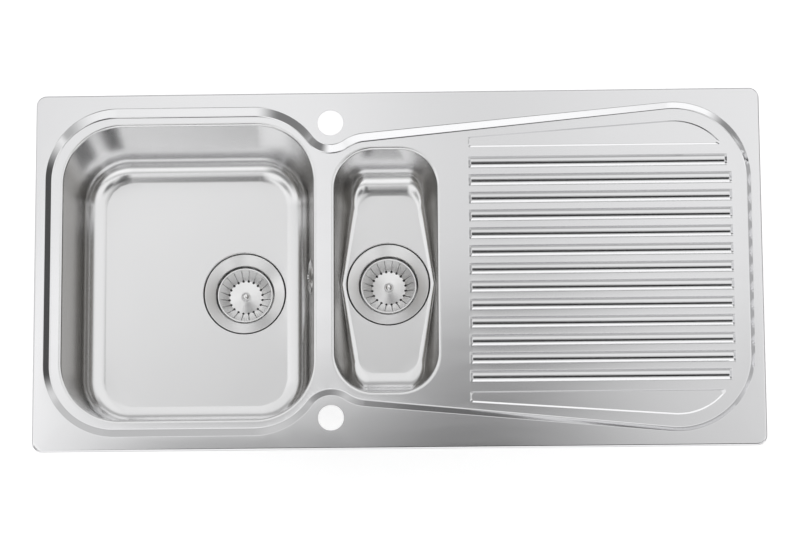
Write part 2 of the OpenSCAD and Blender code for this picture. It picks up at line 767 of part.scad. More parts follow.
seal_foot = -cup_h + rest_gap;
seal_top = basket_foot - waste_t;
seal_r = 26;
seal_lip = 3;
seal_in_r = head_r + 1.5;
seal_web_t = 1.2;

module stem() color(zinc) translate([0, 0, -cup_h + head_h - socket_h + rest_gap])
    cylinder(d = stem_d, h = basket_foot + hub_rise + cup_h - head_h + socket_h - rest_gap);

module basket_seal() color(rubber) rotate_extrude() polygon([
    [stem_d / 2 + fit_gap, seal_top],
    [seal_r, seal_top],
    [seal_r, seal_foot + seal_lip],
    [seal_r - seal_lip, seal_foot],
    [seal_in_r, seal_foot],
    [seal_in_r, seal_top - seal_web_t],
    [stem_d / 2 + fit_gap, seal_top - seal_web_t],
]);

module at_main() translate([main_waste_x, 0, main_z]) children();
module at_half() translate([half_waste_x, 0, half_z]) children();

module main_flange() at_main() waste_flange();
module main_top_gasket() at_main() top_gasket();
module main_lower_gasket() at_main() low_gasket();
module main_waste_body() at_main() waste_body(true);
module main_waste_nut() at_main() waste_nut();
module main_waste_screw() at_main() waste_screw();
module main_basket() at_main() basket();
module main_knob() at_main() knob();
module main_stem() at_main() stem();
module main_basket_seal() at_main() basket_seal();

module half_flange() at_half() waste_flange();
module half_top_gasket() at_half() top_gasket();
module half_lower_gasket() at_half() low_gasket();
module half_waste_body() at_half() waste_body(false);
module half_waste_nut() at_half() waste_nut();
module half_waste_screw() at_half() waste_screw();
module half_basket() at_half() basket();
module half_knob() at_half() knob();
module half_stem() at_half() stem();
module half_basket_seal() at_half() basket_seal();

// Overflow, built on the drafted wall between the bowls: local z points into the main bowl and
// local x up the wall

overflow_x = main_right - wall_in(overflow_z, main_h, main_floor_r, main_draft);
module at_overflow()
    translate([overflow_x, 0, wet_z - overflow_z]) rotate([0, main_draft - 90, 0]) children();

plate_rise = 3;
plate_t = 1;
plate_edge = 7;
plate_slots = 6;
plate_slot_w = 3;
plate_slot_in = 7;
plate_slot_out = 16;
overflow_screw_d = 5;
overflow_head_r = 4.5;
overflow_head_h = 1.6;

module overflow_plate() color(bright_steel) at_overflow() difference() {
    rotate_extrude() polygon([
        [overflow_d / 2, fit_gap],
        [overflow_d / 2, fit_gap + plate_t],
        [overflow_d / 2 - plate_edge, plate_rise + plate_t],
        [0, plate_rise + plate_t],
        [0, plate_rise],
        [overflow_d / 2 - plate_edge, plate_rise],
        [overflow_d / 2 - plate_edge / 2, fit_gap],
    ]);
    for (i = [0:plate_slots - 1]) rotate(360 / plate_slots * i) {
        translate([plate_slot_in, -plate_slot_w / 2, 0])
            cube([plate_slot_out - plate_slot_in, plate_slot_w, plate_rise + plate_t + cut]);
    }
    cylinder(d = overflow_screw_d + 2 * fit_gap, h = plate_rise + plate_t + cut);
}

// The elbow behind the wall: a flange on its gasket, a cup, a post for the screw and a spigot
overflow_gasket_t = 2;
elbow_t = 2;
elbow_flange_t = 3;
elbow_flange_z = -sheet_t - overflow_gasket_t;
elbow_back = -hose_off - spigot_d / 2 - elbow_t / 2;
elbow_r = overflow_hole_d / 2 + elbow_t;
elbow_flange_r = elbow_r + 6;
post_r = 5;
post_top = elbow_back + 10;
thread_z = elbow_back + 5;
spigot_over = 15;
spigot_end = elbow_flange_r + 1 + spigot_over;

module overflow_screw() color(bright_steel) at_overflow() {
    translate([0, 0, plate_rise + plate_t]) cylinder(r = overflow_head_r, h = overflow_head_h);
    translate([0, 0, thread_z + cut])
        cylinder(d = overflow_screw_d, h = plate_rise + plate_t - thread_z - cut);
}

module overflow_gasket() color(rubber) at_overflow() translate([0, 0, elbow_flange_z]) difference() {
    cylinder(r = elbow_flange_r - 1, h = overflow_gasket_t);
    translate([0, 0, -cut]) cylinder(d = overflow_hole_d + 1, h = overflow_gasket_t + 2 * cut);
}

module overflow_elbow() color(plastic) at_overflow() difference() {
    union() {
        translate([0, 0, elbow_flange_z - elbow_flange_t]) cylinder(r = elbow_flange_r, h = elbow_flange_t);
        translate([0, 0, elbow_back]) cylinder(r = elbow_r, h = elbow_flange_z - elbow_back);
        translate([0, 0, -hose_off]) rotate([0, -90, 0]) cylinder(d = spigot_d, h = spigot_end);
    }
    difference() {
        translate([0, 0, elbow_back + elbow_t]) cylinder(r = elbow_r - elbow_t, h = -elbow_back);
        translate([0, 0, elbow_back]) cylinder(r = post_r, h = post_top - elbow_back);
    }
    translate([0, 0, thread_z]) cylinder(d = overflow_screw_d + 2 * fit_gap, h = post_top - thread_z + cut);
    translate([-elbow_r + 2 * elbow_t, 0, -hose_off]) rotate([0, -90, 0])
        cylinder(d = spigot_d - 2 * spigot_t, h = spigot_end);
}

// The hose's route in the plane between the bowls: down along the wall, a bend, and to the waste
hose_n = 12;
hose_t = 1;
hose_bore_r = (spigot_d / 2 + rest_gap) / cos(180 / hose_n);
hose_valley_r = hose_bore_r + hose_t;
hose_cuff_r = hose_valley_r + 1;
hose_start = [
    overflow_x + hose_off * cos(main_draft) - (spigot_end - spigot_over) * sin(main_draft),
    wet_z - overflow_z - hose_off * sin(main_draft) - (spigot_end - spigot_over) * cos(main_draft)
];
hose_end_x = main_waste_x + inlet_end - spigot_over;
hose_end_z = main_z + inlet_z;
hose_down = (hose_start.y - hose_end_z - hose_bend_r * (1 - sin(main_draft))) / cos(main_draft);
hose_turn = hose_bend_r * (90 - main_draft) * PI / 180;
hose_turn_x = hose_start.x - hose_down * sin(main_draft) - hose_bend_r * cos(main_draft);
hose_across = hose_turn_x - hose_end_x;
hose_l = hose_down + hose_turn + hose_across;

// Heading from straight down towards the bowl end, and place, at a distance along the hose
function hose_heading(s) =
    s < hose_down ? main_draft
    : s > hose_down + hose_turn ? 90
    : main_draft + (s - hose_down) / hose_bend_r * 180 / PI;
function hose_point(s) =
    let (
        down = min(s, hose_down),
        a = hose_heading(s),
        across = max(0, s - hose_down - hose_turn)
    )
    [
        hose_start.x - down * sin(main_draft) - hose_bend_r * (cos(main_draft) - cos(a)) - across,
        hose_start.y - down * cos(main_draft) - hose_bend_r * (sin(a) - sin(main_draft))
    ];
function hose_ring(s, r) =
    let (a = hose_heading(s), p = hose_point(s))
    [for (i = [0:hose_n - 1])
        let (u = r * cos(360 * (i + 0.5) / hose_n), v = r * sin(360 * (i + 0.5) / hose_n))
        [p.x + u * cos(a), v, p.y - u * sin(a)]];

hose_cuff = 12;
hose_ribs = floor((hose_l - 2 * hose_cuff) / hose_pitch);
hose_rib_step = (hose_l - 2 * hose_cuff) / hose_ribs;
bore_steps = 24;

module overflow_hose() color(rubber) band(concat(
    [hose_ring(0, hose_cuff_r)],
    [hose_ring(hose_cuff - 1, hose_cuff_r)],
    [for (i = [0:hose_ribs - 1]) each [
        hose_ring(hose_cuff + hose_rib_step * i, hose_valley_r),
        hose_ring(hose_cuff + hose_rib_step * (i + 0.5), hose_valley_r + hose_rib_h)
    ]],
    [hose_ring(hose_l - hose_cuff, hose_valley_r)],
    [hose_ring(hose_l - hose_cuff + 1, hose_cuff_r)],
    [hose_ring(hose_l, hose_cuff_r)],
    [for (i = [bore_steps:-1:0]) hose_ring(hose_l * i / bore_steps, hose_bore_r)]
));

hose_clip_w = 6;
hose_clip_in = 3;
module hose_clip() difference() {
    cylinder(r = hose_cuff_r + strap_t, h = hose_clip_w);
    translate([0, 0, -cut]) cylinder(r = hose_cuff_r + fit_gap, h = hose_clip_w + 2 * cut);
}

module overflow_hose_clips() color(zinc) {
    at_overflow() translate([spigot_over - spigot_end - hose_clip_in, 0, -hose_off]) rotate([0, -90, 0])
        hose_clip();
    translate([hose_end_x + hose_clip_in, 0, hose_end_z]) rotate([0, 90, 0]) hose_clip();
}

// Fixing under the rim

module worktop_seal() color(foam) linear_extrude(deck_under) difference() {
    round_rect(sink_l - 2 * seal_inset, sink_d - 2 * seal_inset, rim_corner_r - seal_inset);
    round_rect(
        sink_l - 2 * (seal_inset + seal_w), sink_d - 2 * (seal_inset + seal_w),
        rim_corner_r - seal_inset - seal_w + 4
    );
}

rail_l = sink_l - 2 * rail_inset;
rail_flange = 5;
rail_y = (top_back + sink_d / 2 - seal_inset - seal_w - rail_flange) / 2;
bracket_w = 20;
bracket_end = deck_under - rail_h - 8;
bracket_short = 2;
screw_in = 6;
screw_y = rail_y - screw_in;
screw_over = 5;
screw_head_r = 4.5;
screw_head_h = 4;
claw_top = -worktop_t - 2;
claw_hub_r = 6.5;
claw_hub_h = 10;
claw_w = 12;
tooth_n = 3;
tooth_w = claw_w / (2 * tooth_n - 1);
tooth_l = 2;
tooth_h = 1.5;
screw_end = claw_top - 36;
clip_places = [left_x + clip_a, left_x + clip_b, right_x - clip_c, right_x - clip_d];

module rail() color(zinc) translate([-rail_l / 2, rail_y, 0]) {
    translate([0, 0, deck_under - rail_h]) cube([rail_l, strap_t, rail_h]);
    translate([0, 0, deck_under - strap_t]) cube([rail_l, rail_flange, strap_t]);
}

module clip_rail_back() rail();
module clip_rail_front() mirror([0, 1, 0]) rail();

// A strap that grips the rail's web and carries the screw
module bracket() {
    hook_out = rail_y + strap_t + fit_gap;
    hook_in = rail_y - fit_gap - strap_t;
    translate([-bracket_w / 2, hook_out, bracket_end]) cube([bracket_w, strap_t, rail_h]);
    translate([-bracket_w / 2, hook_in, bracket_end]) cube([bracket_w, strap_t, rail_h - bracket_short]);
    difference() {
        translate([-bracket_w / 2, screw_y - screw_in, bracket_end - strap_t])
            cube([bracket_w, hook_out + strap_t - screw_y + screw_in, strap_t]);
        translate([0, screw_y, bracket_end - strap_t - cut])
            cylinder(d = clip_screw_d + 2 * fit_gap, h = strap_t + 2 * cut);
    }
}

module clip_screw() {
    translate([0, screw_y, screw_end]) cylinder(d = clip_screw_d, h = bracket_end + screw_over - screw_end);
    translate([0, screw_y, screw_end - screw_head_h]) cylinder(r = screw_head_r, h = screw_head_h, $fn = 6);
}

// The claw lies along the rail at rest and swings out under the worktop
module claw() {
    translate([0, screw_y, claw_top - claw_hub_h]) difference() {
        union() {
            cylinder(r = claw_hub_r, h = claw_hub_h);
            translate([0, -claw_w / 2, claw_hub_h - 2 * strap_t]) cube([claw_l, claw_w, 2 * strap_t]);
            for (i = [0:tooth_n - 1]) translate([claw_l - tooth_l, -claw_w / 2 + 2 * i * tooth_w, claw_hub_h])
                cube([tooth_l, tooth_w, tooth_h]);
        }
        translate([0, 0, -cut]) cylinder(d = clip_screw_d + 2 * fit_gap, h = claw_hub_h + 2 * cut);
    }
}

module at_clips()
    for (side = [0, 1]) mirror([0, side, 0]) for (x = clip_places) translate([x, 0, 0]) children();
module clip_brackets() color(zinc) at_clips() bracket();
module clip_screws() color(zinc) at_clips() clip_screw();
module claw_at(i, side) color(zinc) mirror([0, side, 0]) translate([clip_places[i], 0, 0]) claw();

// Sound-deadening pads and the drainer's stiffener
pad_t = 2;
pad_r = 6;
pad_gap = 13;
main_pad_w = 180;
half_pad_l = 56;
half_pad_share = 0.61;
main_pad_end = main_left + floor_in(main_h, main_floor_r, main_draft) + pad_gap;
main_pad_l = main_waste_x - recess_r - pad_gap - main_pad_end;
half_pad_room = half_d / 2 - floor_in(half_h, half_end_floor_r, half_end_draft) - recess_r;
half_pad_w = half_pad_share * half_pad_room;

module pad(l, w) linear_extrude(pad_t) round_rect(l, w, pad_r);
module main_pad() color(rubber)
    translate([main_pad_end + main_pad_l / 2, 0, main_z - sheet_t - pad_t])
    pad(main_pad_l, main_pad_w);
module half_pads() color(rubber) for (side = [-1, 1])
    translate([half_waste_x, side * (recess_r + half_pad_room / 2), half_z - sheet_t - pad_t])
    pad(half_pad_l, half_pad_w);

beam_w = 30;
beam_h = 18;
beam_lip = 12;
beam_l = 2 * rib_y_max + rib_w;
module drainer_beam() color(zinc)
    translate([(rib_x0 + rib_x1) / 2, beam_l / 2, wet_under]) rotate([90, 0, 0]) linear_extrude(beam_l)
    polygon([
        [-beam_w / 2 - beam_lip, 0], [-beam_w / 2, 0], [-beam_w / 2 + strap_t, -beam_h + strap_t],
        [beam_w / 2 - strap_t, -beam_h + strap_t], [beam_w / 2, 0], [beam_w / 2 + beam_lip, 0],
        [beam_w / 2 + beam_lip, -strap_t], [beam_w / 2 + strap_t, -strap_t], [beam_w / 2, -beam_h],
        [-beam_w / 2, -beam_h], [-beam_w / 2 - strap_t, -strap_t], [-beam_w / 2 - beam_lip, -strap_t],
    ]);

deck();
main_bowl();
half_bowl();
worktop_seal();
main_flange();
main_top_gasket();
main_lower_gasket();
main_waste_body();
main_waste_nut();
main_waste_screw();
main_basket();
main_knob();
main_stem();
main_basket_seal();
half_flange();
half_top_gasket();
half_lower_gasket();
half_waste_body();
half_waste_nut();
half_waste_screw();
half_basket();
half_knob();
half_stem();
half_basket_seal();
overflow_plate();
overflow_screw();
overflow_gasket();
overflow_elbow();
overflow_hose();
overflow_hose_clips();
clip_rail_back();
clip_rail_front();
clip_brackets();
clip_screws();
claw_at(0, 0);  // clip_claw_back_1
claw_at(1, 0);  // clip_claw_back_2
claw_at(2, 0);  // clip_claw_back_3
claw_at(3, 0);  // clip_claw_back_4
claw_at(0, 1);  // clip_claw_front_1
claw_at(1, 1);  // clip_claw_front_2
claw_at(2, 1);  // clip_claw_front_3
claw_at(3, 1);  // clip_claw_front_4
main_pad();
half_pads();
drainer_beam();
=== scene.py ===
"""Looks of the one and a half bowl sink: pressed steel with rounded edges, polished wastes, white studio.

Sizes are in millimetres and turn into metres where a mesh is made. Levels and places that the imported
frame knows are read from it.
"""

import json
from math import asin, atan2, cos, degrees, hypot, pi, radians, sin, sqrt, tan

import bmesh
import bpy
import numpy as np
from mathutils import Matrix, Vector
from mathutils.geometry import delaunay_2d_cdt

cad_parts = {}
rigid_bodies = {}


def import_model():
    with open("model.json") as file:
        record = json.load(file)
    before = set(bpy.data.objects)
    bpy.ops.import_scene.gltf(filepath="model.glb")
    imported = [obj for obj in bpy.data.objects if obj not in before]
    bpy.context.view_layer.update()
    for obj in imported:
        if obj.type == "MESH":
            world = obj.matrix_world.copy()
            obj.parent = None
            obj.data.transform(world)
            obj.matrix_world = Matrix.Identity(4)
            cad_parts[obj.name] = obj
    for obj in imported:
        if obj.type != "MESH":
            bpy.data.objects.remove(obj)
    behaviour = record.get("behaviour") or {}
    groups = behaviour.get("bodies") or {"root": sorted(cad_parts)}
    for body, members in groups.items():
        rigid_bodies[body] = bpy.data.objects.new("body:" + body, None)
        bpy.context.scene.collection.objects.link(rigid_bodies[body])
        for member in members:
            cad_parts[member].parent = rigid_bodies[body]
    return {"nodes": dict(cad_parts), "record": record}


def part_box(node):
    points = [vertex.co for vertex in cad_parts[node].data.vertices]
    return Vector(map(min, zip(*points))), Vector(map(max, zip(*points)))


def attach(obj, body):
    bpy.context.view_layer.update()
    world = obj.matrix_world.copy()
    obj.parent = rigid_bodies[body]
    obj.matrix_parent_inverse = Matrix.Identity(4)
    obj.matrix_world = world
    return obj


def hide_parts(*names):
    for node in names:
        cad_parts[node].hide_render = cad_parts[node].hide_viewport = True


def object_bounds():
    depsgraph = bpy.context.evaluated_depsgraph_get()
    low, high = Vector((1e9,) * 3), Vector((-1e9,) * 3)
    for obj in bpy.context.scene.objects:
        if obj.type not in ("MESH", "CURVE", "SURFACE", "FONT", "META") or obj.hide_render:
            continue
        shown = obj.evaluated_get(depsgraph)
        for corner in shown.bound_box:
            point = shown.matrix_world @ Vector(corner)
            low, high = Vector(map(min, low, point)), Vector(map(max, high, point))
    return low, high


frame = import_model()
cad_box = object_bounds()

MM = 0.001


def low_high(node):
    """A node's lowest and highest corners in millimetres."""
    low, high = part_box(node)
    return [v / MM for v in low], [v / MM for v in high]


# Driving sizes, as in the part's source
SHEET = 0.8
RIM_CORNER_R = 14
RIM_ROLL_R = 3
BORDER_END, BORDER_SIDE = 13.3, 19.5
STEP_H = 7
STEP_END_W, STEP_SIDE_W, STEP_TAP_W, STEP_DRAINER_W, STEP_CORNER_W = 9.9, 12.8, 11.5, 6.8, 8.5
STEP_CORNER_R, STEP_SHOULDER_R, STEP_BLEND_R, STEP_SWEEP_R = 100, 100, 60, 106.7
TAP_D, TAP_INSET, TAP_SHIFT, TAP_ISLAND_R, TAP_LEAVE_A = 35, 43.5, 9.7, 30.5, 55.3
MAIN_L, MAIN_H, MAIN_R, MAIN_DRAFT, MAIN_FLOOR_R = 351.5, 156, 83.5, 6, 32
LEDGE_END, LEDGE_SIDE = 12, 8.7
HALF_H, HALF_R, HALF_LOW_R, HALF_WAIST = 101, 55.5, 28, 18
HALF_DRAFT, HALF_END_DRAFT, HALF_FLOOR_R, HALF_END_FLOOR_R = 2, 8, 7, 35
HALF_INSET, HALF_WASTE_EDGE = 77, 1.4
WEB, EDGE_R = 23.3, 3.2
RIB_COUNT, RIB_W, RIB_H, RIB_START, RIB_STOP, RIB_SHORT = 13, 16, 4, 40, 19, 6
PANEL_H, PANEL_SIDE, PANEL_GAP, PANEL_INSET, PANEL_TIP_R = 1.6, 79, 13, 16, 3
CUP_D, FLANGE_W, RECESS_GAP, RECESS_H, HOLE_GAP, SEAT_FALL = 83.2, 15.1, 2.3, 3, 2.6, 6
CUP_H, WASTE_T, BASKET_GAP, BASKET_RIM_Z, DISC_H, REST_GAP = 38, 0.8, 2.4, 13, 7.1, 0.3
HUB_D, HUB_CREST_RISE, HUB_FLAT_R, SLOTS = 47.2, 2.8, 8, 20
TOP_GASKET_T, KNOB_D, KNOB_H = 1.2, 13, 7.5

# Sizes that the solids have plainer, or not at all: the round edges, and the slots as wide as in the photo
ROLL_STEPS = 6
STEP_CREST_SHARE, STEP_FOOT_SHARE = 0.14, 0.32
RIB_CREST_R, RIB_FOOT_R, RIB_RAMP_L, RIB_LONG_STEPS = 1.5, 1, 4.6, 12
PANEL_EDGE_W, PANEL_CREST_R, PANEL_FOOT_R = 2.4, 0.5, 0.3
BOWL_LIP, SEAT_WALL, SEAT_CREST_R, SEAT_FOOT_R = 1.6, 1.5, 0.8, 0.6
MAIN_SEAT_LIP, HALF_SEAT_LIP = 0.6, 0.2
LIP_R, THROAT_R, THROAT_OUT_R, CUP_FOOT_R, CUP_FOOT_OUT_R = 0.5, 1.6, 0.8, 3, 3.4
BASKET_LIP_W, BASKET_LIP_H, BASKET_LIP_T = 1.9, 1.3, 0.8
BASKET_LIP_R, BASKET_THROAT_R, BASKET_FOOT_R, HUB_CREST_R = 0.6, 0.7, 0.5, 6
BASKET_THROAT_OUT_R, BASKET_FOOT_OUT_R, HUB_CREST_OUT_R = 0.4, 0.9, 5.4
SLOT_W, SLOT_HOLE_D, SLOT_RIM = 1.1, 3.4, 2.8
KNOB_FOOT_H, KNOB_FOOT_IN, KNOB_FOOT_R, DOME_STEP_A = 2, 1, 0.5, 6
AXIS_R = 0.02
TURN_N, TAP_N, KNOB_N, PIN_N = 96, 72, 64, 20

# Levels and places
deck_low, deck_high = low_high("deck")
LEFT, RIGHT, BACK, TOP = deck_low[0], deck_high[0], deck_high[1], deck_high[2]
cup_low, cup_high = low_high("main_flange")
main_waste_x = (cup_low[0] + cup_high[0]) / 2
wet_z = TOP - STEP_H
main_z, half_z = wet_z - MAIN_H, wet_z - HALF_H
flange_r = CUP_D / 2 + FLANGE_W
recess_r = flange_r + RECESS_GAP
hole_r = CUP_D / 2 + WASTE_T + HOLE_GAP
seat_r = recess_r - SEAT_WALL


def wall_in(z, h, floor_r, draft):
    """How far a wall has come in at a depth: the rolled edge, the drafted wall, the floor's radius."""
    lean = radians(draft)
    arc_top = h - floor_r + floor_r * sin(lean)
    foot = EDGE_R + (arc_top - EDGE_R) * tan(lean) + floor_r * cos(lean)
    if z < EDGE_R:
        return sqrt(max(0, EDGE_R**2 - (EDGE_R - z) ** 2))
    if z < arc_top:
        return EDGE_R + (z - EDGE_R) * tan(lean)
    return foot - sqrt(max(0, floor_r**2 - (z - h + floor_r) ** 2))


top_left, top_right, top_back = LEFT + BORDER_END, RIGHT - BORDER_END, BACK - BORDER_SIDE
main_left = top_left + STEP_END_W + LEDGE_END
main_right = main_left + MAIN_L
main_d = 2 * (top_back - STEP_SIDE_W - LEDGE_SIDE)
half_left = main_right + WEB
half_l = 2 * (recess_r + HALF_WASTE_EDGE + wall_in(HALF_H, HALF_H, HALF_FLOOR_R, HALF_DRAFT))
half_right = half_left + half_l
half_d = 2 * (BACK - HALF_INSET)
main_x, half_x = (main_left + main_right) / 2, (half_left + half_right) / 2
tap = ((main_right + half_left) / 2 + TAP_SHIFT, BACK - TAP_INSET)
foot_right = top_right - STEP_DRAINER_W
foot_sweep_top = top_back - STEP_CORNER_W
foot_sweep_r = STEP_SWEEP_R - (STEP_DRAINER_W + STEP_CORNER_W) / 2
rib_x0, rib_x1 = half_right + RIB_START, foot_right - RIB_STOP
panel_y = BACK - PANEL_SIDE
rib_y_max = panel_y - PANEL_GAP - RIB_W / 2


# Outlines


def arc(centre, r, start, end, n, first=0):
    """Points on an arc between two angles in degrees, n steps apart, from the given step on."""
    return [
        (centre[0] + r * cos(radians(start + (end - start) * i / n)),
         centre[1] + r * sin(radians(start + (end - start) * i / n)))
        for i in range(first, n + 1)
    ]


def between(a, b, n):
    """The points strictly between a and b that cut the line into n."""
    return [(a[0] + (b[0] - a[0]) * i / n, a[1] + (b[1] - a[1]) * i / n) for i in range(1, n)]


def mirror_close(half):
    """Closes the half of an outline behind the middle line with its mirror image in front."""
    return half + [(x, -y) for x, y in half[-2:0:-1]]


blend_at = (tap[0] + (TAP_ISLAND_R + STEP_BLEND_R) * cos(radians(TAP_LEAVE_A)),
            tap[1] - (TAP_ISLAND_R + STEP_BLEND_R) * sin(radians(TAP_LEAVE_A)))


def slant_of(blend_r, sweep, sweep_r):
    """Angle of the drainer's slanted side, which touches the blend's arc and the far corner's."""
    run = (sweep[0] - blend_at[0], sweep[1] - blend_at[1])
    return degrees(atan2(run[1], run[0]) - asin((blend_r - sweep_r) / hypot(*run)))


def wet_outline(left, back, corner_r, shoulder_r, island_r, blend_r, right, sweep_r, sweep_top):
    """The wet area's outline: corner, shoulder, hollow round the tap hole, blend, slanted side, corner."""
    shoulder_y = back - shoulder_r
    run = sqrt((shoulder_r + island_r) ** 2 - (tap[1] - shoulder_y) ** 2)
    shoulder = (tap[0] - run, shoulder_y)
    turn = degrees(atan2(tap[1] - shoulder[1], tap[0] - shoulder[0]))
    sweep = (right - sweep_r, sweep_top - sweep_r)
    slant = slant_of(blend_r, sweep, sweep_r)
    corner = arc((left + corner_r, back - corner_r), corner_r, 180, 90, 26)
    turn_in = arc(shoulder, shoulder_r, 90, turn, 16)
    hollow = arc(tap, island_r, turn + 180, 360 - TAP_LEAVE_A, 30, 1)
    blend = arc(blend_at, blend_r, 180 - TAP_LEAVE_A, 90 + slant, 12, 1)
    far = arc(sweep, sweep_r, 90 + slant, 0, 32)
    return mirror_close(
        [(left, 0)] + between((left, 0), corner[0], 4) + corner
        + between(corner[-1], turn_in[0], 5) + turn_in + hollow + blend
        + between(blend[-1], far[0], 12) + far
        + between(far[-1], (right, 0), 4) + [(right, 0)]
    )


step_top = wet_outline(top_left, top_back, STEP_CORNER_R, STEP_SHOULDER_R, TAP_ISLAND_R, STEP_BLEND_R,
                       top_right, STEP_SWEEP_R, top_back)
step_foot = wet_outline(top_left + STEP_END_W, top_back - STEP_SIDE_W,
                        STEP_CORNER_R - (STEP_END_W + STEP_SIDE_W) / 2, STEP_SHOULDER_R - STEP_TAP_W,
                        TAP_ISLAND_R + STEP_TAP_W, STEP_BLEND_R - STEP_TAP_W,
                        foot_right, foot_sweep_r, foot_sweep_top)


def round_rect(l, d, r, corner_n=10, long_n=20, short_n=10):
    """A rectangle with round corners, centred, as one closed outline."""
    a, b = l / 2 - r, d / 2 - r
    points = []
    sides = (
        ((a, b), (-a, b + r), long_n),
        ((-a, b), (-a - r, -b), short_n),
        ((-a, -b), (a, -b - r), long_n),
        ((a, -b), (a + r, b), short_n),
    )
    for turn, (centre, side_end, n) in enumerate(sides):
        corner = arc(centre, r, 90 * turn, 90 * turn + 90, corner_n)
        points += corner + between(corner[-1], side_end, n)
    return points


def bowl_ring(x, a, b, r, waist, corner_n=22, side_n=5, end_n=3):
    """A bowl's ring: half sizes a and b, corner radius r, and how much the sides draw in at the ends."""
    quarter = [(a, (b - r) * i / side_n) for i in range(side_n)]
    quarter += arc((a - r, b - r), r, 0, 90, corner_n)
    quarter += [((a - r) * (1 - i / end_n), b) for i in range(1, end_n + 1)]
    drawn = [(px * (1 - waist / a * min(1, py / (b - r))), py) for px, py in quarter]
    back = drawn + [(-px, py) for px, py in drawn[-2::-1]]
    ring = back + [(px, -py) for px, py in back[-2:0:-1]]
    return [(x + px, py) for px, py in ring]


def main_ring(z, grow=0):
    """The main bowl's ring at a depth, grown outward by some amount."""
    inset = wall_in(z, MAIN_H, MAIN_FLOOR_R, MAIN_DRAFT) - grow
    return bowl_ring(main_x, MAIN_L / 2 - inset, main_d / 2 - inset, MAIN_R - inset, 0)


def half_ring(z, grow=0):
    """The half bowl's ring at a depth, waisted more the deeper it lies."""
    side_in = wall_in(z, HALF_H, HALF_FLOOR_R, HALF_DRAFT) - grow
    end_in = wall_in(z, HALF_H, HALF_END_FLOOR_R, HALF_END_DRAFT) - grow
    deep = z / HALF_H
    r = HALF_R + (HALF_LOW_R - HALF_R) * deep + grow
    return bowl_ring(half_x, half_l / 2 - side_in, half_d / 2 - end_in, r, HALF_WAIST * deep**2)


def panel_outline(inset):
    """Outline of the back corner panel, drawn in by some amount."""
    sweep = (foot_right - foot_sweep_r, foot_sweep_top - foot_sweep_r)
    slant = slant_of(STEP_BLEND_R, sweep, foot_sweep_r)
    r, low, x0, tip_r = foot_sweep_r - PANEL_INSET - inset, panel_y + inset, rib_x0 + inset, PANEL_TIP_R
    across = (-sin(radians(slant)), cos(radians(slant)))
    side = across[0] * sweep[0] + across[1] * sweep[1] + r
    corner = (x0 + tip_r, (side - tip_r - across[0] * (x0 + tip_r)) / across[1])
    tip = (sweep[0] + sqrt((r - tip_r) ** 2 - (low + tip_r - sweep[1]) ** 2), low + tip_r)
    tip_a = degrees(atan2(tip[1] - sweep[1], tip[0] - sweep[0]))
    first = arc((x0 + tip_r, low + tip_r), tip_r, 270, 180, 6)
    second = arc(corner, tip_r, 180, 90 + slant, 6)
    third = arc(sweep, r, 90 + slant, tip_a, 16)
    last = arc(tip, tip_r, tip_a, -90, 8, 1)
    return (first + between(first[-1], second[0], 3) + second + between(second[-1], third[0], 12)
            + third + last + between(last[-1], first[0], 16))[::-1]


# Meshes

MERGE_GAP, LEAST_TURN = 1e-5, 1e-7
# How much of a side a fillet may take, where the next corner has one too and where it hasn't
SHARED_SIDE, FREE_SIDE = 0.49, 0.95


class Skin:
    """One sheet of metal seen from its good side: rings of shared points, joined by lofts and fills."""

    def __init__(self):
        self.points, self.found, self.faces = [], {}, []

    def add(self, x, y, z):
        """A point's number, with one number for all calls at the same place."""
        key = (round(x, 4), round(y, 4), round(z, 4))
        if key not in self.found:
            self.found[key] = len(self.points)
            self.points.append((x, y, z))
        return self.found[key]

    def ring(self, outline, z):
        """The numbers of an outline's points at a height."""
        return [self.add(x, y, z) for x, y in outline]

    def face(self, corners):
        """Keeps a face, without corners that fall together."""
        corners = [c for i, c in enumerate(corners) if c != corners[i - 1]]
        if len(corners) > 2:
            self.faces.append(corners)

    def loft(self, outer, inner, closed=True):
        """Joins two rings of as many points with a band of faces."""
        n = len(outer)
        for i in range(n if closed else n - 1):
            j = (i + 1) % n
            self.face([outer[i], outer[j], inner[j], inner[i]])

    def fill(self, loops):
        """Fills the flat space inside the first loop and outside the others, seen from above."""
        used = sorted({p for loop in loops for p in loop})
        at = {p: i for i, p in enumerate(used)}
        edges = [(at[loop[i - 1]], at[loop[i]]) for loop in loops for i in range(len(loop))]
        flat = [Vector(self.points[p][:2]) for p in used]
        _, _, made, sources, _, _ = delaunay_2d_cdt(flat, edges, [], 0, MERGE_GAP, True)
        back = [used[source[0]] for source in sources]
        xy = np.array([self.points[p][:2] for p in back])
        triangles = np.array(made)
        middle = xy[triangles].mean(axis=1)
        start, end = (np.array([self.points[used[edge[side]]][:2] for edge in edges]) for side in (0, 1))
        spans = (start[:, 1] > middle[:, None, 1]) != (end[:, 1] > middle[:, None, 1])
        rise = np.where(start[:, 1] == end[:, 1], 1, end[:, 1] - start[:, 1])
        crossing = start[:, 0] + (middle[:, None, 1] - start[:, 1]) / rise * (end[:, 0] - start[:, 0])
        inside = (spans & (crossing > middle[:, None, 0])).sum(axis=1) % 2 == 1
        a, b, c = (xy[triangles[:, i]] for i in range(3))
        turn = (b - a)[:, 0] * (c - a)[:, 1] - (b - a)[:, 1] * (c - a)[:, 0]
        for tri, keep, way in zip(triangles, inside, turn):
            if keep and abs(way) > LEAST_TURN:
                self.face([back[i] for i in (tri if way > 0 else tri[::-1])])

    def mesh(self, name):
        """The sheet as a mesh in metres."""
        mesh = bpy.data.meshes.new(name)
        mesh.from_pydata([[v * MM for v in p] for p in self.points], [], self.faces)
        mesh.validate()
        return mesh


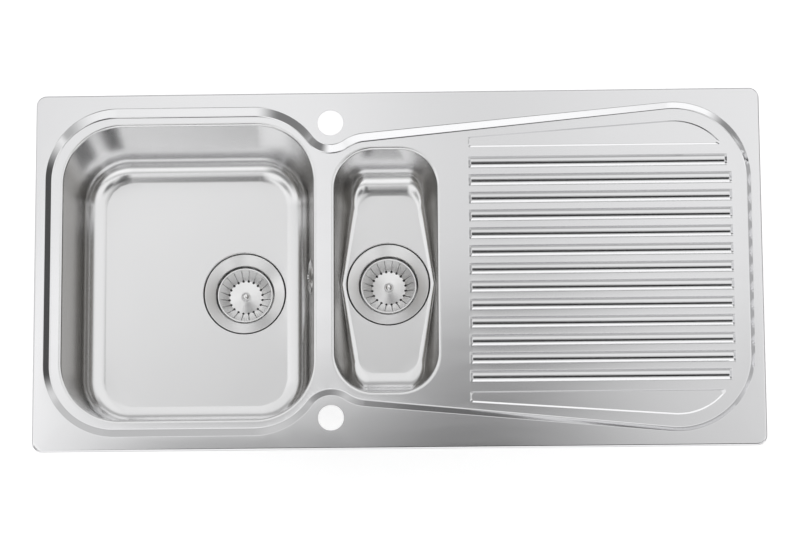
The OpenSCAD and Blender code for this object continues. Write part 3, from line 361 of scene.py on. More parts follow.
def settle(obj):
    """Applies the modifiers to the mesh."""
    graph = bpy.context.evaluated_depsgraph_get()
    made = bpy.data.meshes.new_from_object(obj.evaluated_get(graph), depsgraph=graph)
    obj.modifiers.clear()
    obj.data = made


def lathe(skin, profile, x, z, n):
    """Turns a profile of (radius, height), from the outside in, round an upright axis at y = 0."""
    rings = []
    for r, h in profile:
        rings.append([
            skin.add(x + r * cos(2 * pi * i / n), r * sin(2 * pi * i / n), z + h)
            for i in range(n)
        ])
    for outer, inner in zip(rings, rings[1:]):
        skin.loft(outer, inner)
    return rings


def rounded(points, n=5):
    """A profile from (radius, height, fillet) corners, with each fillet as an arc of n steps."""
    out = []
    for i, (r, h, fillet) in enumerate(points):
        if not fillet:
            out.append((r, h))
            continue
        here = Vector((r, h))
        back, on = Vector(points[i - 1][:2]) - here, Vector(points[i + 1][:2]) - here
        half = back.angle(on) / 2
        shares = [SHARED_SIDE if points[(i + way) % len(points)][2] else FREE_SIDE for way in (-1, 1)]
        reach = min(fillet / tan(half), back.length * shares[0], on.length * shares[1])
        centre = here + (back.normalized() + on.normalized()).normalized() * reach / cos(half)
        start, end = here + back.normalized() * reach - centre, here + on.normalized() * reach - centre
        sweep = atan2(start.x * end.y - start.y * end.x, start.dot(end))
        for k in range(n + 1):
            c, t = cos(sweep * k / n), sin(sweep * k / n)
            out.append((centre.x + start.x * c - start.y * t, centre.y + start.x * t + start.y * c))
    return out


def fillet_steps(width, drop, crest_r, foot_r, n=5):
    """A slope's profile as (run, drop) pairs: a rounded crest, a straight face and a rounded foot."""
    both = crest_r + foot_r
    lean = asin(both / hypot(width, both - drop)) - atan2(both - drop, width)
    steps = [(crest_r * sin(lean * i / n), crest_r * (1 - cos(lean * i / n))) for i in range(n + 1)]
    steps += [
        (width - foot_r * sin(lean * i / n), drop - foot_r * (1 - cos(lean * i / n)))
        for i in range(n, -1, -1)
    ]
    return steps


# Deck


def rim_rings(skin):
    """The rolled-down edge, from its foot on the worktop to the flat border."""
    rings = [skin.ring(round_rect(RIGHT - LEFT, 2 * BACK, RIM_CORNER_R), 0)]
    for step in range(ROLL_STEPS + 1):
        turn = radians(90 * step / ROLL_STEPS)
        inset = RIM_ROLL_R * (1 - cos(turn))
        rings.append(skin.ring(
            round_rect(RIGHT - LEFT - 2 * inset, 2 * (BACK - inset), RIM_CORNER_R - inset),
            TOP - RIM_ROLL_R * (1 - sin(turn))))
    return rings


def step_rings(skin):
    """The step from the border down to the wet area, with a rounded crest and foot."""
    profiles = []
    for (x0, y0), (x1, y1) in zip(step_top, step_foot):
        width = hypot(x1 - x0, y1 - y0)
        steps = fillet_steps(width, STEP_H, STEP_CREST_SHARE * width, STEP_FOOT_SHARE * width)
        profiles.append([(run / width, drop) for run, drop in steps])
    return [
        [skin.add(x0 + (x1 - x0) * p[k][0], y0 + (y1 - y0) * p[k][0], TOP - p[k][1])
         for (x0, y0), (x1, y1), p in zip(step_top, step_foot, profiles)]
        for k in range(len(profiles[0]))
    ]


def rib_section():
    """Half widths and heights of a rib's round back with its small foot radii, from edge to edge."""
    back_r = ((RIB_W / 2) ** 2 + RIB_H**2) / (2 * RIB_H)
    centre = RIB_H - back_r
    lean = asin(sqrt(1 - ((RIB_FOOT_R - centre) / (back_r + RIB_FOOT_R)) ** 2))
    foot_y = (back_r + RIB_FOOT_R) * sin(lean)
    foot_n, back_n = 4, 9
    foot = [
        (foot_y - RIB_FOOT_R * sin(lean * i / foot_n), RIB_FOOT_R * (1 - cos(lean * i / foot_n)))
        for i in range(foot_n + 1)
    ]
    back = [
        (back_r * sin(lean * i / back_n), centre + back_r * cos(lean * i / back_n))
        for i in range(back_n - 1, -1, -1)
    ]
    half = foot + back
    return [(-y, z) for y, z in half] + [(y, z) for y, z in half[-2::-1]]


def rib(skin, y, x0, x1):
    """One rib, whose ends ramp up steeply; gives the loop that it stands on."""
    section = rib_section()
    steps = fillet_steps(RIB_RAMP_L, RIB_H, RIB_CREST_R, RIB_FOOT_R, 4)
    ramp = [(run, 1 - drop / RIB_H) for run, drop in steps]
    full_l = x1 - x0 - 2 * RIB_RAMP_L
    stations = [(x0 + RIB_RAMP_L - run, rise) for run, rise in ramp[::-1]]
    stations += [(x0 + RIB_RAMP_L + full_l * i / RIB_LONG_STEPS, 1) for i in range(1, RIB_LONG_STEPS)]
    stations += [(x1 - RIB_RAMP_L + run, rise) for run, rise in ramp]
    rows = [[skin.add(x, y + py, wet_z + pz * rise) for py, pz in section] for x, rise in stations]
    for a, b in zip(rows, rows[1:]):
        skin.loft(b, a, closed=False)
    return ([row[0] for row in rows] + rows[-1][1:] + [row[-1] for row in rows[-2::-1]]
            + rows[0][-2:0:-1])


def panel(skin, side):
    """One raised corner panel with a soft edge; gives the loop that it stands on."""
    rings = []
    for run, drop in fillet_steps(PANEL_EDGE_W, PANEL_H, PANEL_CREST_R, PANEL_FOOT_R, 4)[::-1]:
        outline = [(x, side * y) for x, y in panel_outline(PANEL_EDGE_W - run)]
        rings.append(skin.ring(outline, wet_z + PANEL_H - drop))
    for outer, inner in zip(rings, rings[1:]):
        if side < 0:
            skin.loft(outer[::-1], inner[::-1])
        else:
            skin.loft(outer, inner)
    skin.fill([rings[-1]])
    return rings[0]


def deck():
    """The pressed top: rim, border with the tap holes, step, and wet area with ribs and panels."""
    skin = Skin()
    rim = rim_rings(skin)
    for outer, inner in zip(rim, rim[1:]):
        skin.loft(outer, inner)
    holes = [
        skin.ring(arc((tap[0], side * tap[1]), TAP_D / 2, 0, 360, TAP_N)[:-1], TOP)
        for side in (1, -1)
    ]
    step = step_rings(skin)
    skin.fill([rim[-1], step[0], *holes])
    for outer, inner in zip(step, step[1:]):
        skin.loft(inner, outer)
    loops = [skin.ring(main_ring(0, BOWL_LIP), wet_z), skin.ring(half_ring(0, BOWL_LIP), wet_z)]
    for i in range(RIB_COUNT):
        short = RIB_SHORT if i in (0, RIB_COUNT - 1) else 0
        loops.append(rib(skin, rib_y_max * (2 * i / (RIB_COUNT - 1) - 1), rib_x0, rib_x1 - short))
    loops += [panel(skin, side) for side in (1, -1)]
    skin.fill([step[-1], *loops])
    return skin.mesh("deck")


# Bowls

EDGE_STEP_A, BIG_STEP_A, SMALL_STEP_A = 12, 6, 9
WALL_STEPS, RING_GAP = 4, 0.5


def depths_of(h, big_r, big_draft, small_r=None):
    """Depths of a bowl's rings: close together at the rolled edge and the floor's one or two radii."""
    depths = [EDGE_R * (1 - cos(radians(a))) for a in range(0, 90, EDGE_STEP_A)]
    start = h - big_r + big_r * sin(radians(big_draft))
    depths += [EDGE_R + (start - EDGE_R) * i / WALL_STEPS for i in range(WALL_STEPS)]
    big = [h - big_r * (1 - sin(radians(a))) for a in range(big_draft, 91, BIG_STEP_A)]
    if small_r is None:
        return depths + big
    small = [h - small_r * (1 - sin(radians(a))) for a in range(0, 91, SMALL_STEP_A)]
    return depths + [d for d in big if d < small[0] - RING_GAP] + small


def bowl(name, ring_of, depths, floor_z, waste_x, seat_lip):
    """A drawn bowl: lip, rolled edge, walls, floor and the pressed seat of its waste."""
    skin = Skin()
    rings = [skin.ring(ring_of(0, BOWL_LIP), wet_z)]
    rings += [skin.ring(ring_of(d), wet_z - d) for d in depths]
    for outer, inner in zip(rings, rings[1:]):
        skin.loft(outer, inner)
    profile = rounded([
        (recess_r + seat_lip, 0, 0),
        (recess_r, 0, SEAT_CREST_R),
        (seat_r, -RECESS_H, SEAT_FOOT_R),
        (hole_r, -RECESS_H - SEAT_FALL, 0),
    ])
    seat = lathe(skin, profile, waste_x, floor_z, TURN_N)
    skin.fill([rings[-1], seat[0]])
    return skin.mesh(name)


# Wastes

seat_slope = SEAT_FALL / (seat_r - hole_r)
basket_r = CUP_D / 2 - BASKET_GAP
basket_foot = -CUP_H + REST_GAP + DISC_H + WASTE_T
hub_top = basket_foot + HUB_CREST_RISE


def flange_top(r):
    """The flange's height at a radius: it lies on the top gasket, which lies on the seat."""
    return -RECESS_H - (seat_r - r) * seat_slope + TOP_GASKET_T + WASTE_T


def closed_lathe(name, profile, x, z, n=TURN_N):
    """A solid turned piece from a closed profile of (radius, height)."""
    skin = Skin()
    rings = lathe(skin, profile, x, z, n)
    skin.loft(rings[-1], rings[0])
    return skin.mesh(name)


def flange(name, x, z):
    """The steel cup: rounded lip, sloped flange, turned edge, wall and floor."""
    cup_r = CUP_D / 2
    outside_r = cup_r + WASTE_T
    lip_foot = flange_top(flange_r) - WASTE_T
    profile = rounded([
        (flange_r, lip_foot, 0),
        (flange_r, flange_top(flange_r), LIP_R),
        (cup_r, flange_top(cup_r), THROAT_R),
        (cup_r, -CUP_H, CUP_FOOT_R),
        (AXIS_R, -CUP_H, 0),
    ])
    under = rounded([
        (AXIS_R, -CUP_H - WASTE_T, 0),
        (outside_r, -CUP_H - WASTE_T, CUP_FOOT_OUT_R),
        (outside_r, flange_top(outside_r) - WASTE_T, THROAT_OUT_R),
        (flange_r, lip_foot, 0),
    ])
    return closed_lathe(name, profile + under[:-1], x, z)


def as_cutter(mesh, name, x, z):
    """Moves the shapes from the axis to the waste and gives them as a mesh in metres."""
    cutter = bpy.data.meshes.new(name)
    bmesh.ops.transform(mesh, verts=mesh.verts, matrix=Matrix.Translation((x, 0, z)))
    bmesh.ops.scale(mesh, vec=(MM, MM, MM), verts=mesh.verts)
    mesh.to_mesh(cutter)
    mesh.free()
    return cutter


def slots_cutter(x, z):
    """Bars that cut the basket's slots."""
    mesh = bmesh.new()
    hub_r = HUB_D / 2
    reach = basket_r - SLOT_RIM - hub_r
    bar_h, bar_z = 40, -22
    size = Matrix.Diagonal((reach, SLOT_W, bar_h, 1))
    out = Matrix.Translation((hub_r + reach / 2, 0, bar_z))
    for i in range(SLOTS):
        turn = Matrix.Rotation(2 * pi * (i + 0.5) / SLOTS, 4, "Z")
        bar = bmesh.ops.create_cube(mesh, size=1)["verts"]
        bmesh.ops.transform(mesh, verts=bar, matrix=turn @ out @ size)
    return as_cutter(mesh, "slots_cutter", x, z)


def pins_cutter(x, z):
    """Pins that cut the hole at each slot's inner end."""
    mesh = bmesh.new()
    ring_r, r = HUB_D / 2, SLOT_HOLE_D / 2
    pin_h, pin_z = 60, -20
    for i in range(SLOTS):
        angle = 2 * pi * (i + 0.5) / SLOTS
        pin = bmesh.ops.create_cone(mesh, segments=PIN_N, radius1=r, radius2=r, depth=pin_h, cap_ends=True)
        out = Matrix.Translation((ring_r * cos(angle), ring_r * sin(angle), pin_z))
        bmesh.ops.transform(mesh, verts=pin["verts"], matrix=out)
    return as_cutter(mesh, "pins_cutter", x, z)


def cut_out(mesh, *cutters):
    """Takes the cutters' shapes out of the mesh."""
    scene = bpy.context.scene.collection.objects
    target = bpy.data.objects.new("target", mesh)
    scene.link(target)
    for cutter in cutters:
        tool = bpy.data.objects.new("tool", cutter)
        scene.link(tool)
        cut = target.modifiers.new("cut", "BOOLEAN")
        cut.object = tool
        cut.operation = "DIFFERENCE"
        cut.solver = "EXACT"
        settle(target)
        bpy.data.objects.remove(tool)
    made = target.data
    bpy.data.objects.remove(target)
    return made


def basket(name, x, z):
    """The strainer: rolled rim, slotted cone and a slightly domed middle."""
    hub_r, throat_r = HUB_D / 2, basket_r - BASKET_LIP_W
    lip_foot = -BASKET_RIM_Z - BASKET_LIP_H
    top = rounded([
        (basket_r, lip_foot, 0),
        (basket_r, -BASKET_RIM_Z, BASKET_LIP_R),
        (throat_r, -BASKET_RIM_Z, BASKET_THROAT_R),
        (hub_r, basket_foot, BASKET_FOOT_R),
        (HUB_FLAT_R, hub_top, HUB_CREST_R),
        (AXIS_R, hub_top, 0),
    ])
    under = rounded([
        (AXIS_R, hub_top - WASTE_T, 0),
        (HUB_FLAT_R, hub_top - WASTE_T, HUB_CREST_OUT_R),
        (hub_r, basket_foot - WASTE_T, BASKET_FOOT_OUT_R),
        (throat_r - BASKET_THROAT_OUT_R, lip_foot, BASKET_THROAT_OUT_R),
        (basket_r - BASKET_LIP_T, lip_foot, 0),
    ])
    solid = closed_lathe(name, top + under, x, z)
    return cut_out(solid, slots_cutter(x, z), pins_cutter(x, z))


def knob(name, x, z):
    """The dome that lifts the basket."""
    r = KNOB_D / 2
    dome_foot = hub_top + KNOB_FOOT_H
    dome_h = KNOB_H - KNOB_FOOT_H
    profile = rounded([
        (r - KNOB_FOOT_IN, hub_top, 0),
        (r, hub_top + KNOB_FOOT_IN, KNOB_FOOT_R),
        (r, dome_foot, 0),
    ])
    profile += [(r * cos(radians(a)), dome_foot + dome_h * sin(radians(a)))
                for a in range(DOME_STEP_A, 90, DOME_STEP_A)]
    profile += [(AXIS_R, hub_top + KNOB_H), (AXIS_R, hub_top)]
    return closed_lathe(name, profile, x, z, KNOB_N)


# Materials

GRAIN_SCALE, GRAIN_DETAIL = 6, 2
SHADE_DETAIL, SHADE_ENDS = 4, (0.35, 0.65)
# How far a face looks up (glossier flats) or aside (painted side shade), as its normal's share, from where
# a look changes to where it has changed
FLAT_FROM, PAINTED_SHADE_FROM, PAINTED_SHADE_FULL = 0.97, 0.75, 0.97
# Sockets of Blender's Mix node, whose names repeat
MIX_FACTOR, MIX_FLOAT_A, MIX_FLOAT_B = 0, 2, 3
MIX_COLOR_A, MIX_COLOR_B, MIX_COLOR_OUT = 6, 7, 2


def material(name, color, metallic, roughness):
    """A plain material, with its node tree and its shader."""
    made = bpy.data.materials.new(name)
    made.use_nodes = True
    shader = made.node_tree.nodes["Principled BSDF"]
    shader.inputs["Base Color"].default_value = (*color, 1)
    shader.inputs["Metallic"].default_value = metallic
    shader.inputs["Roughness"].default_value = roughness
    return made, made.node_tree, shader


def drive_roughness(tree, shader, stretch, low, high):
    """Lets the roughness wander between two values over the piece, stretched along the grain."""
    where = tree.nodes.new("ShaderNodeTexCoord")
    mapping = tree.nodes.new("ShaderNodeMapping")
    mapping.inputs["Scale"].default_value = stretch
    noise = tree.nodes.new("ShaderNodeTexNoise")
    noise.inputs["Scale"].default_value = GRAIN_SCALE
    noise.inputs["Detail"].default_value = GRAIN_DETAIL
    level = tree.nodes.new("ShaderNodeMapRange")
    level.inputs["To Min"].default_value = low
    level.inputs["To Max"].default_value = high
    tree.links.new(where.outputs["Object"], mapping.inputs["Vector"])
    tree.links.new(mapping.outputs["Vector"], noise.inputs["Vector"])
    tree.links.new(noise.outputs["Fac"], level.inputs["Value"])
    tree.links.new(level.outputs["Result"], shader.inputs["Roughness"])


def drive_color(tree, shader, scale, low, high):
    """Lets the colour wander between two shades."""
    where = tree.nodes.new("ShaderNodeTexCoord")
    noise = tree.nodes.new("ShaderNodeTexNoise")
    noise.inputs["Scale"].default_value = scale
    noise.inputs["Detail"].default_value = SHADE_DETAIL
    ramp = tree.nodes.new("ShaderNodeValToRGB")
    for element, position, color in zip(ramp.color_ramp.elements, SHADE_ENDS, (low, high)):
        element.position = position
        element.color = (*color, 1)
    tree.links.new(where.outputs["Object"], noise.inputs["Vector"])
    tree.links.new(noise.outputs["Fac"], ramp.inputs["Fac"])
    tree.links.new(ramp.outputs["Color"], shader.inputs["Base Color"])


def steel(name, color, rough_low, rough_high, stretch):
    """Bare metal whose roughness wanders between two values."""
    made, tree, shader = material(name, color, 1, (rough_low + rough_high) / 2)
    drive_roughness(tree, shader, stretch, rough_low, rough_high)
    return made


def glossier_flats(made, less):
    """Takes something off the steel's roughness where its face looks straight up."""
    tree = made.node_tree
    shader = tree.nodes["Principled BSDF"]
    driven = shader.inputs["Roughness"].links[0].from_socket
    faces = tree.nodes.new("ShaderNodeNewGeometry")
    parts = tree.nodes.new("ShaderNodeSeparateXYZ")
    flat = tree.nodes.new("ShaderNodeMapRange")
    flat.inputs["From Min"].default_value = FLAT_FROM
    flat.inputs["To Max"].default_value = -less
    both = tree.nodes.new("ShaderNodeMath")
    tree.links.new(faces.outputs["Normal"], parts.inputs[0])
    tree.links.new(parts.outputs["Z"], flat.inputs["Value"])
    tree.links.new(flat.outputs["Result"], both.inputs[0])
    tree.links.new(driven, both.inputs[1])
    tree.links.new(both.outputs[0], shader.inputs["Roughness"])


def paint_side_shade(made, color):
    """Paints shade into the steel: a darker base colour where its face looks to the left or to the right.
    """
    tree = made.node_tree
    shader = tree.nodes["Principled BSDF"]
    faces = tree.nodes.new("ShaderNodeNewGeometry")
    parts = tree.nodes.new("ShaderNodeSeparateXYZ")
    across = tree.nodes.new("ShaderNodeMath")
    across.operation = "ABSOLUTE"
    side = tree.nodes.new("ShaderNodeMapRange")
    side.inputs["From Min"].default_value = PAINTED_SHADE_FROM
    side.inputs["From Max"].default_value = PAINTED_SHADE_FULL
    # Painted shade: mixes the darker colour into the base colour on faces that look aside
    shade = tree.nodes.new("ShaderNodeMix")
    shade.data_type = "RGBA"
    shade.inputs[MIX_COLOR_A].default_value = shader.inputs["Base Color"].default_value
    shade.inputs[MIX_COLOR_B].default_value = (*color, 1)
    tree.links.new(faces.outputs["Normal"], parts.inputs[0])
    tree.links.new(parts.outputs["X"], across.inputs[0])
    tree.links.new(across.outputs[0], side.inputs["Value"])
    tree.links.new(side.outputs["Result"], shade.inputs[MIX_FACTOR])
    tree.links.new(shade.outputs[MIX_COLOR_OUT], shader.inputs["Base Color"])


def mottled(name, low, high, roughness, scale, metallic):
    """A material whose colour wanders between two shades."""
    made, tree, shader = material(name, low, metallic, roughness)
    drive_color(tree, shader, scale, low, high)
    return made


# Colour, lowest and highest roughness, and how the grain is stretched
STEELS = {
    "deck_steel": ((0.865, 0.865, 0.875), 0.08, 0.11, (1, 8, 8)),
    "bowl_steel": ((0.86, 0.86, 0.865), 0.19, 0.23, (1, 1, 4)),
    "waste_steel": ((0.87, 0.87, 0.87), 0.13, 0.18, (1, 1, 1)),
    "satin_steel": ((0.97, 0.97, 0.97), 0.28, 0.32, (1, 1, 1)),
    "bright_steel": ((0.9, 0.9, 0.9), 0.1, 0.13, (1, 1, 1)),
}
# Two shades, roughness, the noise's scale, and 1 for metal
MOTTLED = {
    "zinc": ((0.5, 0.51, 0.52), (0.6, 0.61, 0.62), 0.4, 60, 1),
    "plastic": ((0.84, 0.84, 0.82), (0.87, 0.87, 0.85), 0.45, 20, 0),
    "hose": ((0.42, 0.43, 0.44), (0.46, 0.47, 0.48), 0.5, 30, 0),
    "rubber": ((0.035, 0.035, 0.036), (0.05, 0.05, 0.05), 0.6, 80, 0),
    "foam": ((0.12, 0.12, 0.125), (0.17, 0.17, 0.175), 0.9, 400, 0),
    "pad": ((0.07, 0.07, 0.075), (0.1, 0.1, 0.105), 0.85, 120, 0),
    "brass": ((0.72, 0.56, 0.26), (0.78, 0.62, 0.32), 0.3, 50, 1),
}
LOOKS = {name: steel(name, *values) for name, values in STEELS.items()}
LOOKS |= {name: mottled(name, *values) for name, values in MOTTLED.items()}

# The photo's bowls have glossier floors. Their side walls, and the wastes' steel, get painted shade: a
# darker colour where the face looks left or right, in place of the mirrored dark brown room
glossier_flats(LOOKS["bowl_steel"], 0.04)
paint_side_shade(LOOKS["bowl_steel"], (0.26, 0.25, 0.235))
paint_side_shade(LOOKS["waste_steel"], (0.3, 0.29, 0.28))

record = frame["record"]
body_of_node = {node: body for body, nodes in record["behaviour"]["bodies"].items() for node in nodes}
slot_of_node = {part["node"]: part["material_slot"] for part in record["subparts"]}

CREASE_A = 35


def dress(name, mesh, node, thickness=0, look=None):
    """Makes the piece, thickens it downward, keeps its creases and puts it in the node's place."""
    obj = bpy.data.objects.new(name, mesh)
    bpy.context.scene.collection.objects.link(obj)
    if thickness:
        shell = obj.modifiers.new("sheet", "SOLIDIFY")
        shell.thickness = thickness * MM
        shell.offset = -1
        settle(obj)
    for polygon in obj.data.polygons:
        polygon.use_smooth = True
    obj.data.set_sharp_from_angle(angle=radians(CREASE_A))
    weighted = obj.modifiers.new("normals", "WEIGHTED_NORMAL")
    weighted.keep_sharp = True
    settle(obj)
    obj.data.materials.clear()
    obj.data.materials.append(LOOKS[look or slot_of_node[node]])
    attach(obj, body_of_node[node])
    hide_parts(node)


dress("pressed_deck", deck(), "deck", SHEET)
main_depths = depths_of(MAIN_H, MAIN_FLOOR_R, MAIN_DRAFT)
half_depths = depths_of(HALF_H, HALF_END_FLOOR_R, HALF_END_DRAFT, HALF_FLOOR_R)
main_bowl = bowl("main_bowl", main_ring, main_depths, main_z, main_waste_x, MAIN_SEAT_LIP)
dress("drawn_main_bowl", main_bowl, "main_bowl", SHEET)
half_bowl = bowl("half_bowl", half_ring, half_depths, half_z, half_x, HALF_SEAT_LIP)
dress("drawn_half_bowl", half_bowl, "half_bowl", SHEET)
# Cups and baskets are satin, and the knobs bright
for which, x, z in (("main", main_waste_x, main_z), ("half", half_x, half_z)):
    dress(f"{which}_cup", flange(f"{which}_cup", x, z), f"{which}_flange", look="satin_steel")
    basket_name = f"{which}_strainer_basket"
    dress(basket_name, basket(basket_name, x, z), f"{which}_basket", look="satin_steel")
    dress(f"{which}_dome", knob(f"{which}_dome", x, z), f"{which}_knob", look="bright_steel")

# The CAD solids that show as they are
for node, shown in frame["nodes"].items():
    if not shown.hide_render:
        shown.data.materials.clear()
        shown.data.materials.append(LOOKS[slot_of_node[node]])

# Camera, as the photo was taken: above the sink's front, nearly straight down
CAMERA_AT = (0.135, -1.042, 5.0)
CAMERA_TURN = (11.71, 1.58, -0.33)
SENSOR_W, PHOTO_W, FOCAL_PX = 36, 800, 3725

camera = bpy.data.objects.new("camera", bpy.data.cameras.new("camera"))
bpy.context.scene.collection.objects.link(camera)
camera.location = CAMERA_AT
camera.rotation_euler = [radians(turn) for turn in CAMERA_TURN]
camera.data.sensor_fit = "HORIZONTAL"
camera.data.sensor_width = SENSOR_W
camera.data.lens = SENSOR_W * FOCAL_PX / PHOTO_W
bpy.context.scene.camera = camera


# Studio: a white room whose brightness depends on the direction, with a dark card round the camera.
# Directions are angles in degrees: "front" and "right" are the tilts from straight up towards the front and
# the right, "steep" is the angle from straight up, "azimuth" runs round from the front, positive to the
# right, and "round" is azimuth without its sign.

# Levels by "right": of the ceiling behind the zenith, which the flat steel shows, and of the strip (the
# flank) that borders it in front
RIGHT_FROM, RIGHT_TO = -8, 6
CEILING = (
    (-7.4, 0.84), (-6, 0.9), (-4, 0.94), (-2.5, 0.95), (-1.2, 0.78), (0.3, 0.76), (1.5, 0.86), (4.5, 0.92),
)
FLANK = (
    (-7.3, 1.0), (-6.3, 0.8), (-5.6, 0.5), (-4.9, 0.36), (-3.5, 0.42), (-2.4, 0.32), (-1.2, 0.14),
    (0.2, 0.13), (1.1, 0.36), (2.5, 0.66), (4.5, 0.74),
)

# Areas with a level of their own, in the order in which they cover each other. An area is a span of one or
# two angles. Two limits are a soft rise from the first to the second, or a fall if the second is lower.
# Four are a window: low, high, and how soft it is at each.
ROOM = (
    (1.0, {"front": (-8, 10)}),  # the ceiling's front
    (1.03, {"front": (-12.8, -11.4), "right": (-1.5, -3)}),  # next to the flank, on the left
    (0.45, {"front": (41, 48, 1.5, 3)}),  # grey stripe beyond the card
    (1.12, {"front": (48, 56)}),  # white front beyond the stripe
    (0.47, {"steep": (66, 78), "azimuth": (-125, -62, 12, 10)}),  # left wall
    (0.08, {"steep": (58, 70), "azimuth": (62, 120, 5, 12)}),  # right wall
    (0.4, {"steep": (66, 78), "azimuth": (14, 44, 10, 5)}),  # front wall, right of the middle
    (0.22, {"steep": (46, 66, 4, 5), "azimuth": (-75, -18, 14, 14)}),  # front wall, high on the left
    (0.3, {"steep": (64, 70), "azimuth": (-80, -40, 8, 12)}),  # front wall, low on the left
    (0.45, {"steep": (54, 75, 4, 5), "round": (120, 140)}),  # back wall's upper part
    (0.15, {"steep": (75, 83), "round": (120, 140)}),  # back wall's lower part
    (0.01, {"steep": (18, 35, 3, 3), "azimuth": (42, 76, 5, 5)}),  # dark thing high on the right
    (0.25, {"steep": (18, 35, 3, 3), "azimuth": (-92, -62, 6, 6)}),  # grey thing high on the left
)
CARD = (
    (0.01, {"front": (-5.5, 21, 2, 2), "right": (-6.2, -1, 1, 1.5)}),  # left part, round the camera
    (0.04, {"front": (4, 36, 2, 2), "right": (-2.5, 12, 1.5, 3)}),  # right part
)
# The flank's back edge rises in two steps, each with its share, and left of the middle at once
FLANK_STEPS = (((-11.5, -10.7), 0.82), ((-10.7, -8.6), 0.18))
FLANK_LEFT_STEP, FLANK_MIDDLE = (-10.2, -9.4), (-1.9, -0.9)
FLANK_FRONT, FLANK_SIDES = (6, 0), (-8, 12, 1, 3)


class Nodes:
    """Builds a node tree from plain sums, whose values are numbers or sockets."""

    def __init__(self, tree):
        self.tree = tree

    def link(self, value, socket):
        """Sets the socket to a number or joins it to another."""
        if isinstance(value, (int, float)):
            socket.default_value = value
        else:
            self.tree.links.new(value, socket)

    def math(self, operation, *values):
        """The result of a sum."""
        node = self.tree.nodes.new("ShaderNodeMath")
        node.operation = operation
        for value, socket in zip(values, node.inputs):
            self.link(value, socket)
        return node.outputs[0]

    def both(self, first, *others):
        """Where all the masks are."""
        for other in others:
            first = self.math("MULTIPLY", first, other)
        return first

    def outside(self, mask):
        """Where the mask isn't."""
        return self.math("SUBTRACT", 1, mask)

    def rise(self, value, low, high):
        """0 below low, 1 above high, smooth between."""
        node = self.tree.nodes.new("ShaderNodeMapRange")
        node.interpolation_type = "SMOOTHSTEP"
        self.link(value, node.inputs["Value"])
        node.inputs["From Min"].default_value = low
        node.inputs["From Max"].default_value = high
        return node.outputs["Result"]

    def window(self, value, low, high, soft_low, soft_high):
        """1 between low and high, 0 outside, with soft edges."""
        up = self.rise(value, low - soft_low, low + soft_low)
        down = self.rise(value, high - soft_high, high + soft_high)
        return self.both(up, self.outside(down))

    def span(self, value, limits):
        """A rise or a fall from two limits, a window from four."""
        if len(limits) > 2:
            return self.window(value, *limits)
        rise = self.rise(value, min(limits), max(limits))
        return rise if limits[0] < limits[1] else self.outside(rise)

    def stops(self, value, low, high, levels):
        """A level that runs straight from stop to stop, each given as (value, level)."""
        node = self.tree.nodes.new("ShaderNodeValToRGB")
        share = self.math("DIVIDE", self.math("SUBTRACT", value, low), high - low)
        self.link(share, node.inputs["Fac"])
        ramp = node.color_ramp
        while len(ramp.elements) < len(levels):
            ramp.elements.new(1)
        for element, (at, level) in zip(ramp.elements, levels):
            element.position = (at - low) / (high - low)
            element.color = (level, level, level, 1)
        return node.outputs["Color"]

    def mix(self, where, level, new):
        """level, changed to new where the mask is 1."""
        node = self.tree.nodes.new("ShaderNodeMix")
        node.data_type = "FLOAT"
        self.link(where, node.inputs[MIX_FACTOR])
        self.link(level, node.inputs[MIX_FLOAT_A])
        self.link(new, node.inputs[MIX_FLOAT_B])
        return node.outputs[0]

    def cover(self, level, angles, areas):
        """level, changed in each area to the area's own."""
        for new, spans in areas:
            where = self.both(*(self.span(angles[angle], limits) for angle, limits in spans.items()))
            level = self.mix(where, level, new)
        return level


def angles_of(n):
    """The angles of the direction that the world is asked for."""
    where = n.tree.nodes.new("ShaderNodeTexCoord")
    parts = n.tree.nodes.new("ShaderNodeSeparateXYZ")
    n.link(where.outputs["Generated"], parts.inputs[0])
    x, y, z = parts.outputs
    to_front = n.math("MULTIPLY", y, -1)
    degree = 180 / pi
    azimuth = n.math("MULTIPLY", n.math("ARCTAN2", x, to_front), degree)
    return {
        "front": n.math("MULTIPLY", n.math("ARCTAN2", to_front, z), degree),
        "right": n.math("MULTIPLY", n.math("ARCTAN2", x, z), degree),
        "steep": n.math("MULTIPLY", n.math("ARCCOSINE", z), degree),
        "azimuth": azimuth,
        "round": n.math("ABSOLUTE", azimuth),
    }


def room_level(n):
    """The room's brightness by direction."""
    angles = angles_of(n)
    front, right = angles["front"], angles["right"]
    level = n.cover(n.stops(right, RIGHT_FROM, RIGHT_TO, CEILING), angles, ROOM)
    steps = [n.math("MULTIPLY", n.span(front, limits), share) for limits, share in FLANK_STEPS]
    edge = n.mix(n.span(right, FLANK_MIDDLE), n.span(front, FLANK_LEFT_STEP), n.math("ADD", *steps))
    where = n.both(edge, n.span(front, FLANK_FRONT), n.span(right, FLANK_SIDES))
    level = n.mix(where, level, n.stops(right, RIGHT_FROM, RIGHT_TO, FLANK))
    return n.cover(level, angles, CARD)


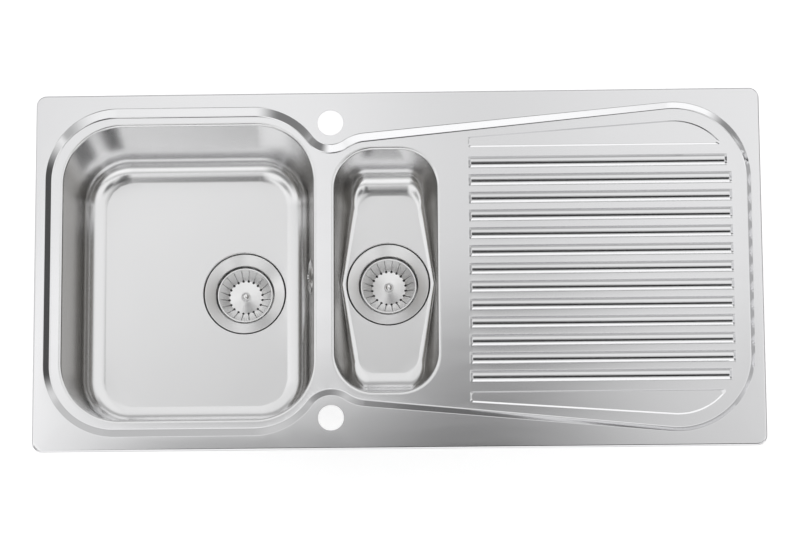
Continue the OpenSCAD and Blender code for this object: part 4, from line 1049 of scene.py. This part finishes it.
def studio():
    """The world: the room's brightness, and white straight to the camera."""
    world = bpy.data.worlds.new("studio")
    bpy.context.scene.world = world
    world.use_nodes = True
    tree = world.node_tree
    tree.nodes.clear()
    n = Nodes(tree)
    path = tree.nodes.new("ShaderNodeLightPath")
    level = n.mix(path.outputs["Is Camera Ray"], room_level(n), 1)
    ground = tree.nodes.new("ShaderNodeBackground")
    ground.inputs["Color"].default_value = (1, 1, 1, 1)
    n.link(level, ground.inputs["Strength"])
    out = tree.nodes.new("ShaderNodeOutputWorld")
    n.link(ground.outputs[0], out.inputs["Surface"])


FLOOR_SIZE, FLOOR_GAP, FLOOR_SHADE = 30, 0.0005, 0.9
FLOOR_GLOW, MIRRORED_FLOOR_GLOW = 0.56, 0.12


def floor():
    """A pale floor that shows white to the camera and in the steel, and keeps the sink's shadow."""
    bpy.ops.mesh.primitive_plane_add(size=FLOOR_SIZE, location=(0, 0, cad_box[0][2] - FLOOR_GAP))
    plane = bpy.context.object
    plane.name = "studio_floor"
    made = bpy.data.materials.new("studio_floor")
    made.use_nodes = True
    tree = made.node_tree
    tree.nodes.clear()
    n = Nodes(tree)
    path = tree.nodes.new("ShaderNodeLightPath")
    straight = path.outputs["Is Camera Ray"]
    mirrored = n.math("MAXIMUM", path.outputs["Is Glossy Ray"], path.outputs["Is Transmission Ray"])
    seen = n.math("MAXIMUM", n.math("MULTIPLY", straight, FLOOR_GLOW),
                  n.math("MULTIPLY", mirrored, MIRRORED_FLOOR_GLOW))
    diffuse = tree.nodes.new("ShaderNodeBsdfDiffuse")
    diffuse.inputs["Color"].default_value = (FLOOR_SHADE, FLOOR_SHADE, FLOOR_SHADE, 1)
    glow = tree.nodes.new("ShaderNodeEmission")
    n.link(seen, glow.inputs["Strength"])
    lit = tree.nodes.new("ShaderNodeAddShader")
    n.link(diffuse.outputs[0], lit.inputs[0])
    n.link(glow.outputs[0], lit.inputs[1])
    # From below the floor is clear, so that the sink's underside can be seen
    shape = tree.nodes.new("ShaderNodeNewGeometry")
    clear = tree.nodes.new("ShaderNodeBsdfTransparent")
    shown = tree.nodes.new("ShaderNodeMixShader")
    n.link(n.both(shape.outputs["Backfacing"], straight), shown.inputs[0])
    n.link(lit.outputs[0], shown.inputs[1])
    n.link(clear.outputs[0], shown.inputs[2])
    out = tree.nodes.new("ShaderNodeOutputMaterial")
    n.link(shown.outputs[0], out.inputs["Surface"])
    plane.data.materials.append(made)


studio()
floor()
bpy.context.scene.view_settings.view_transform = "Standard"
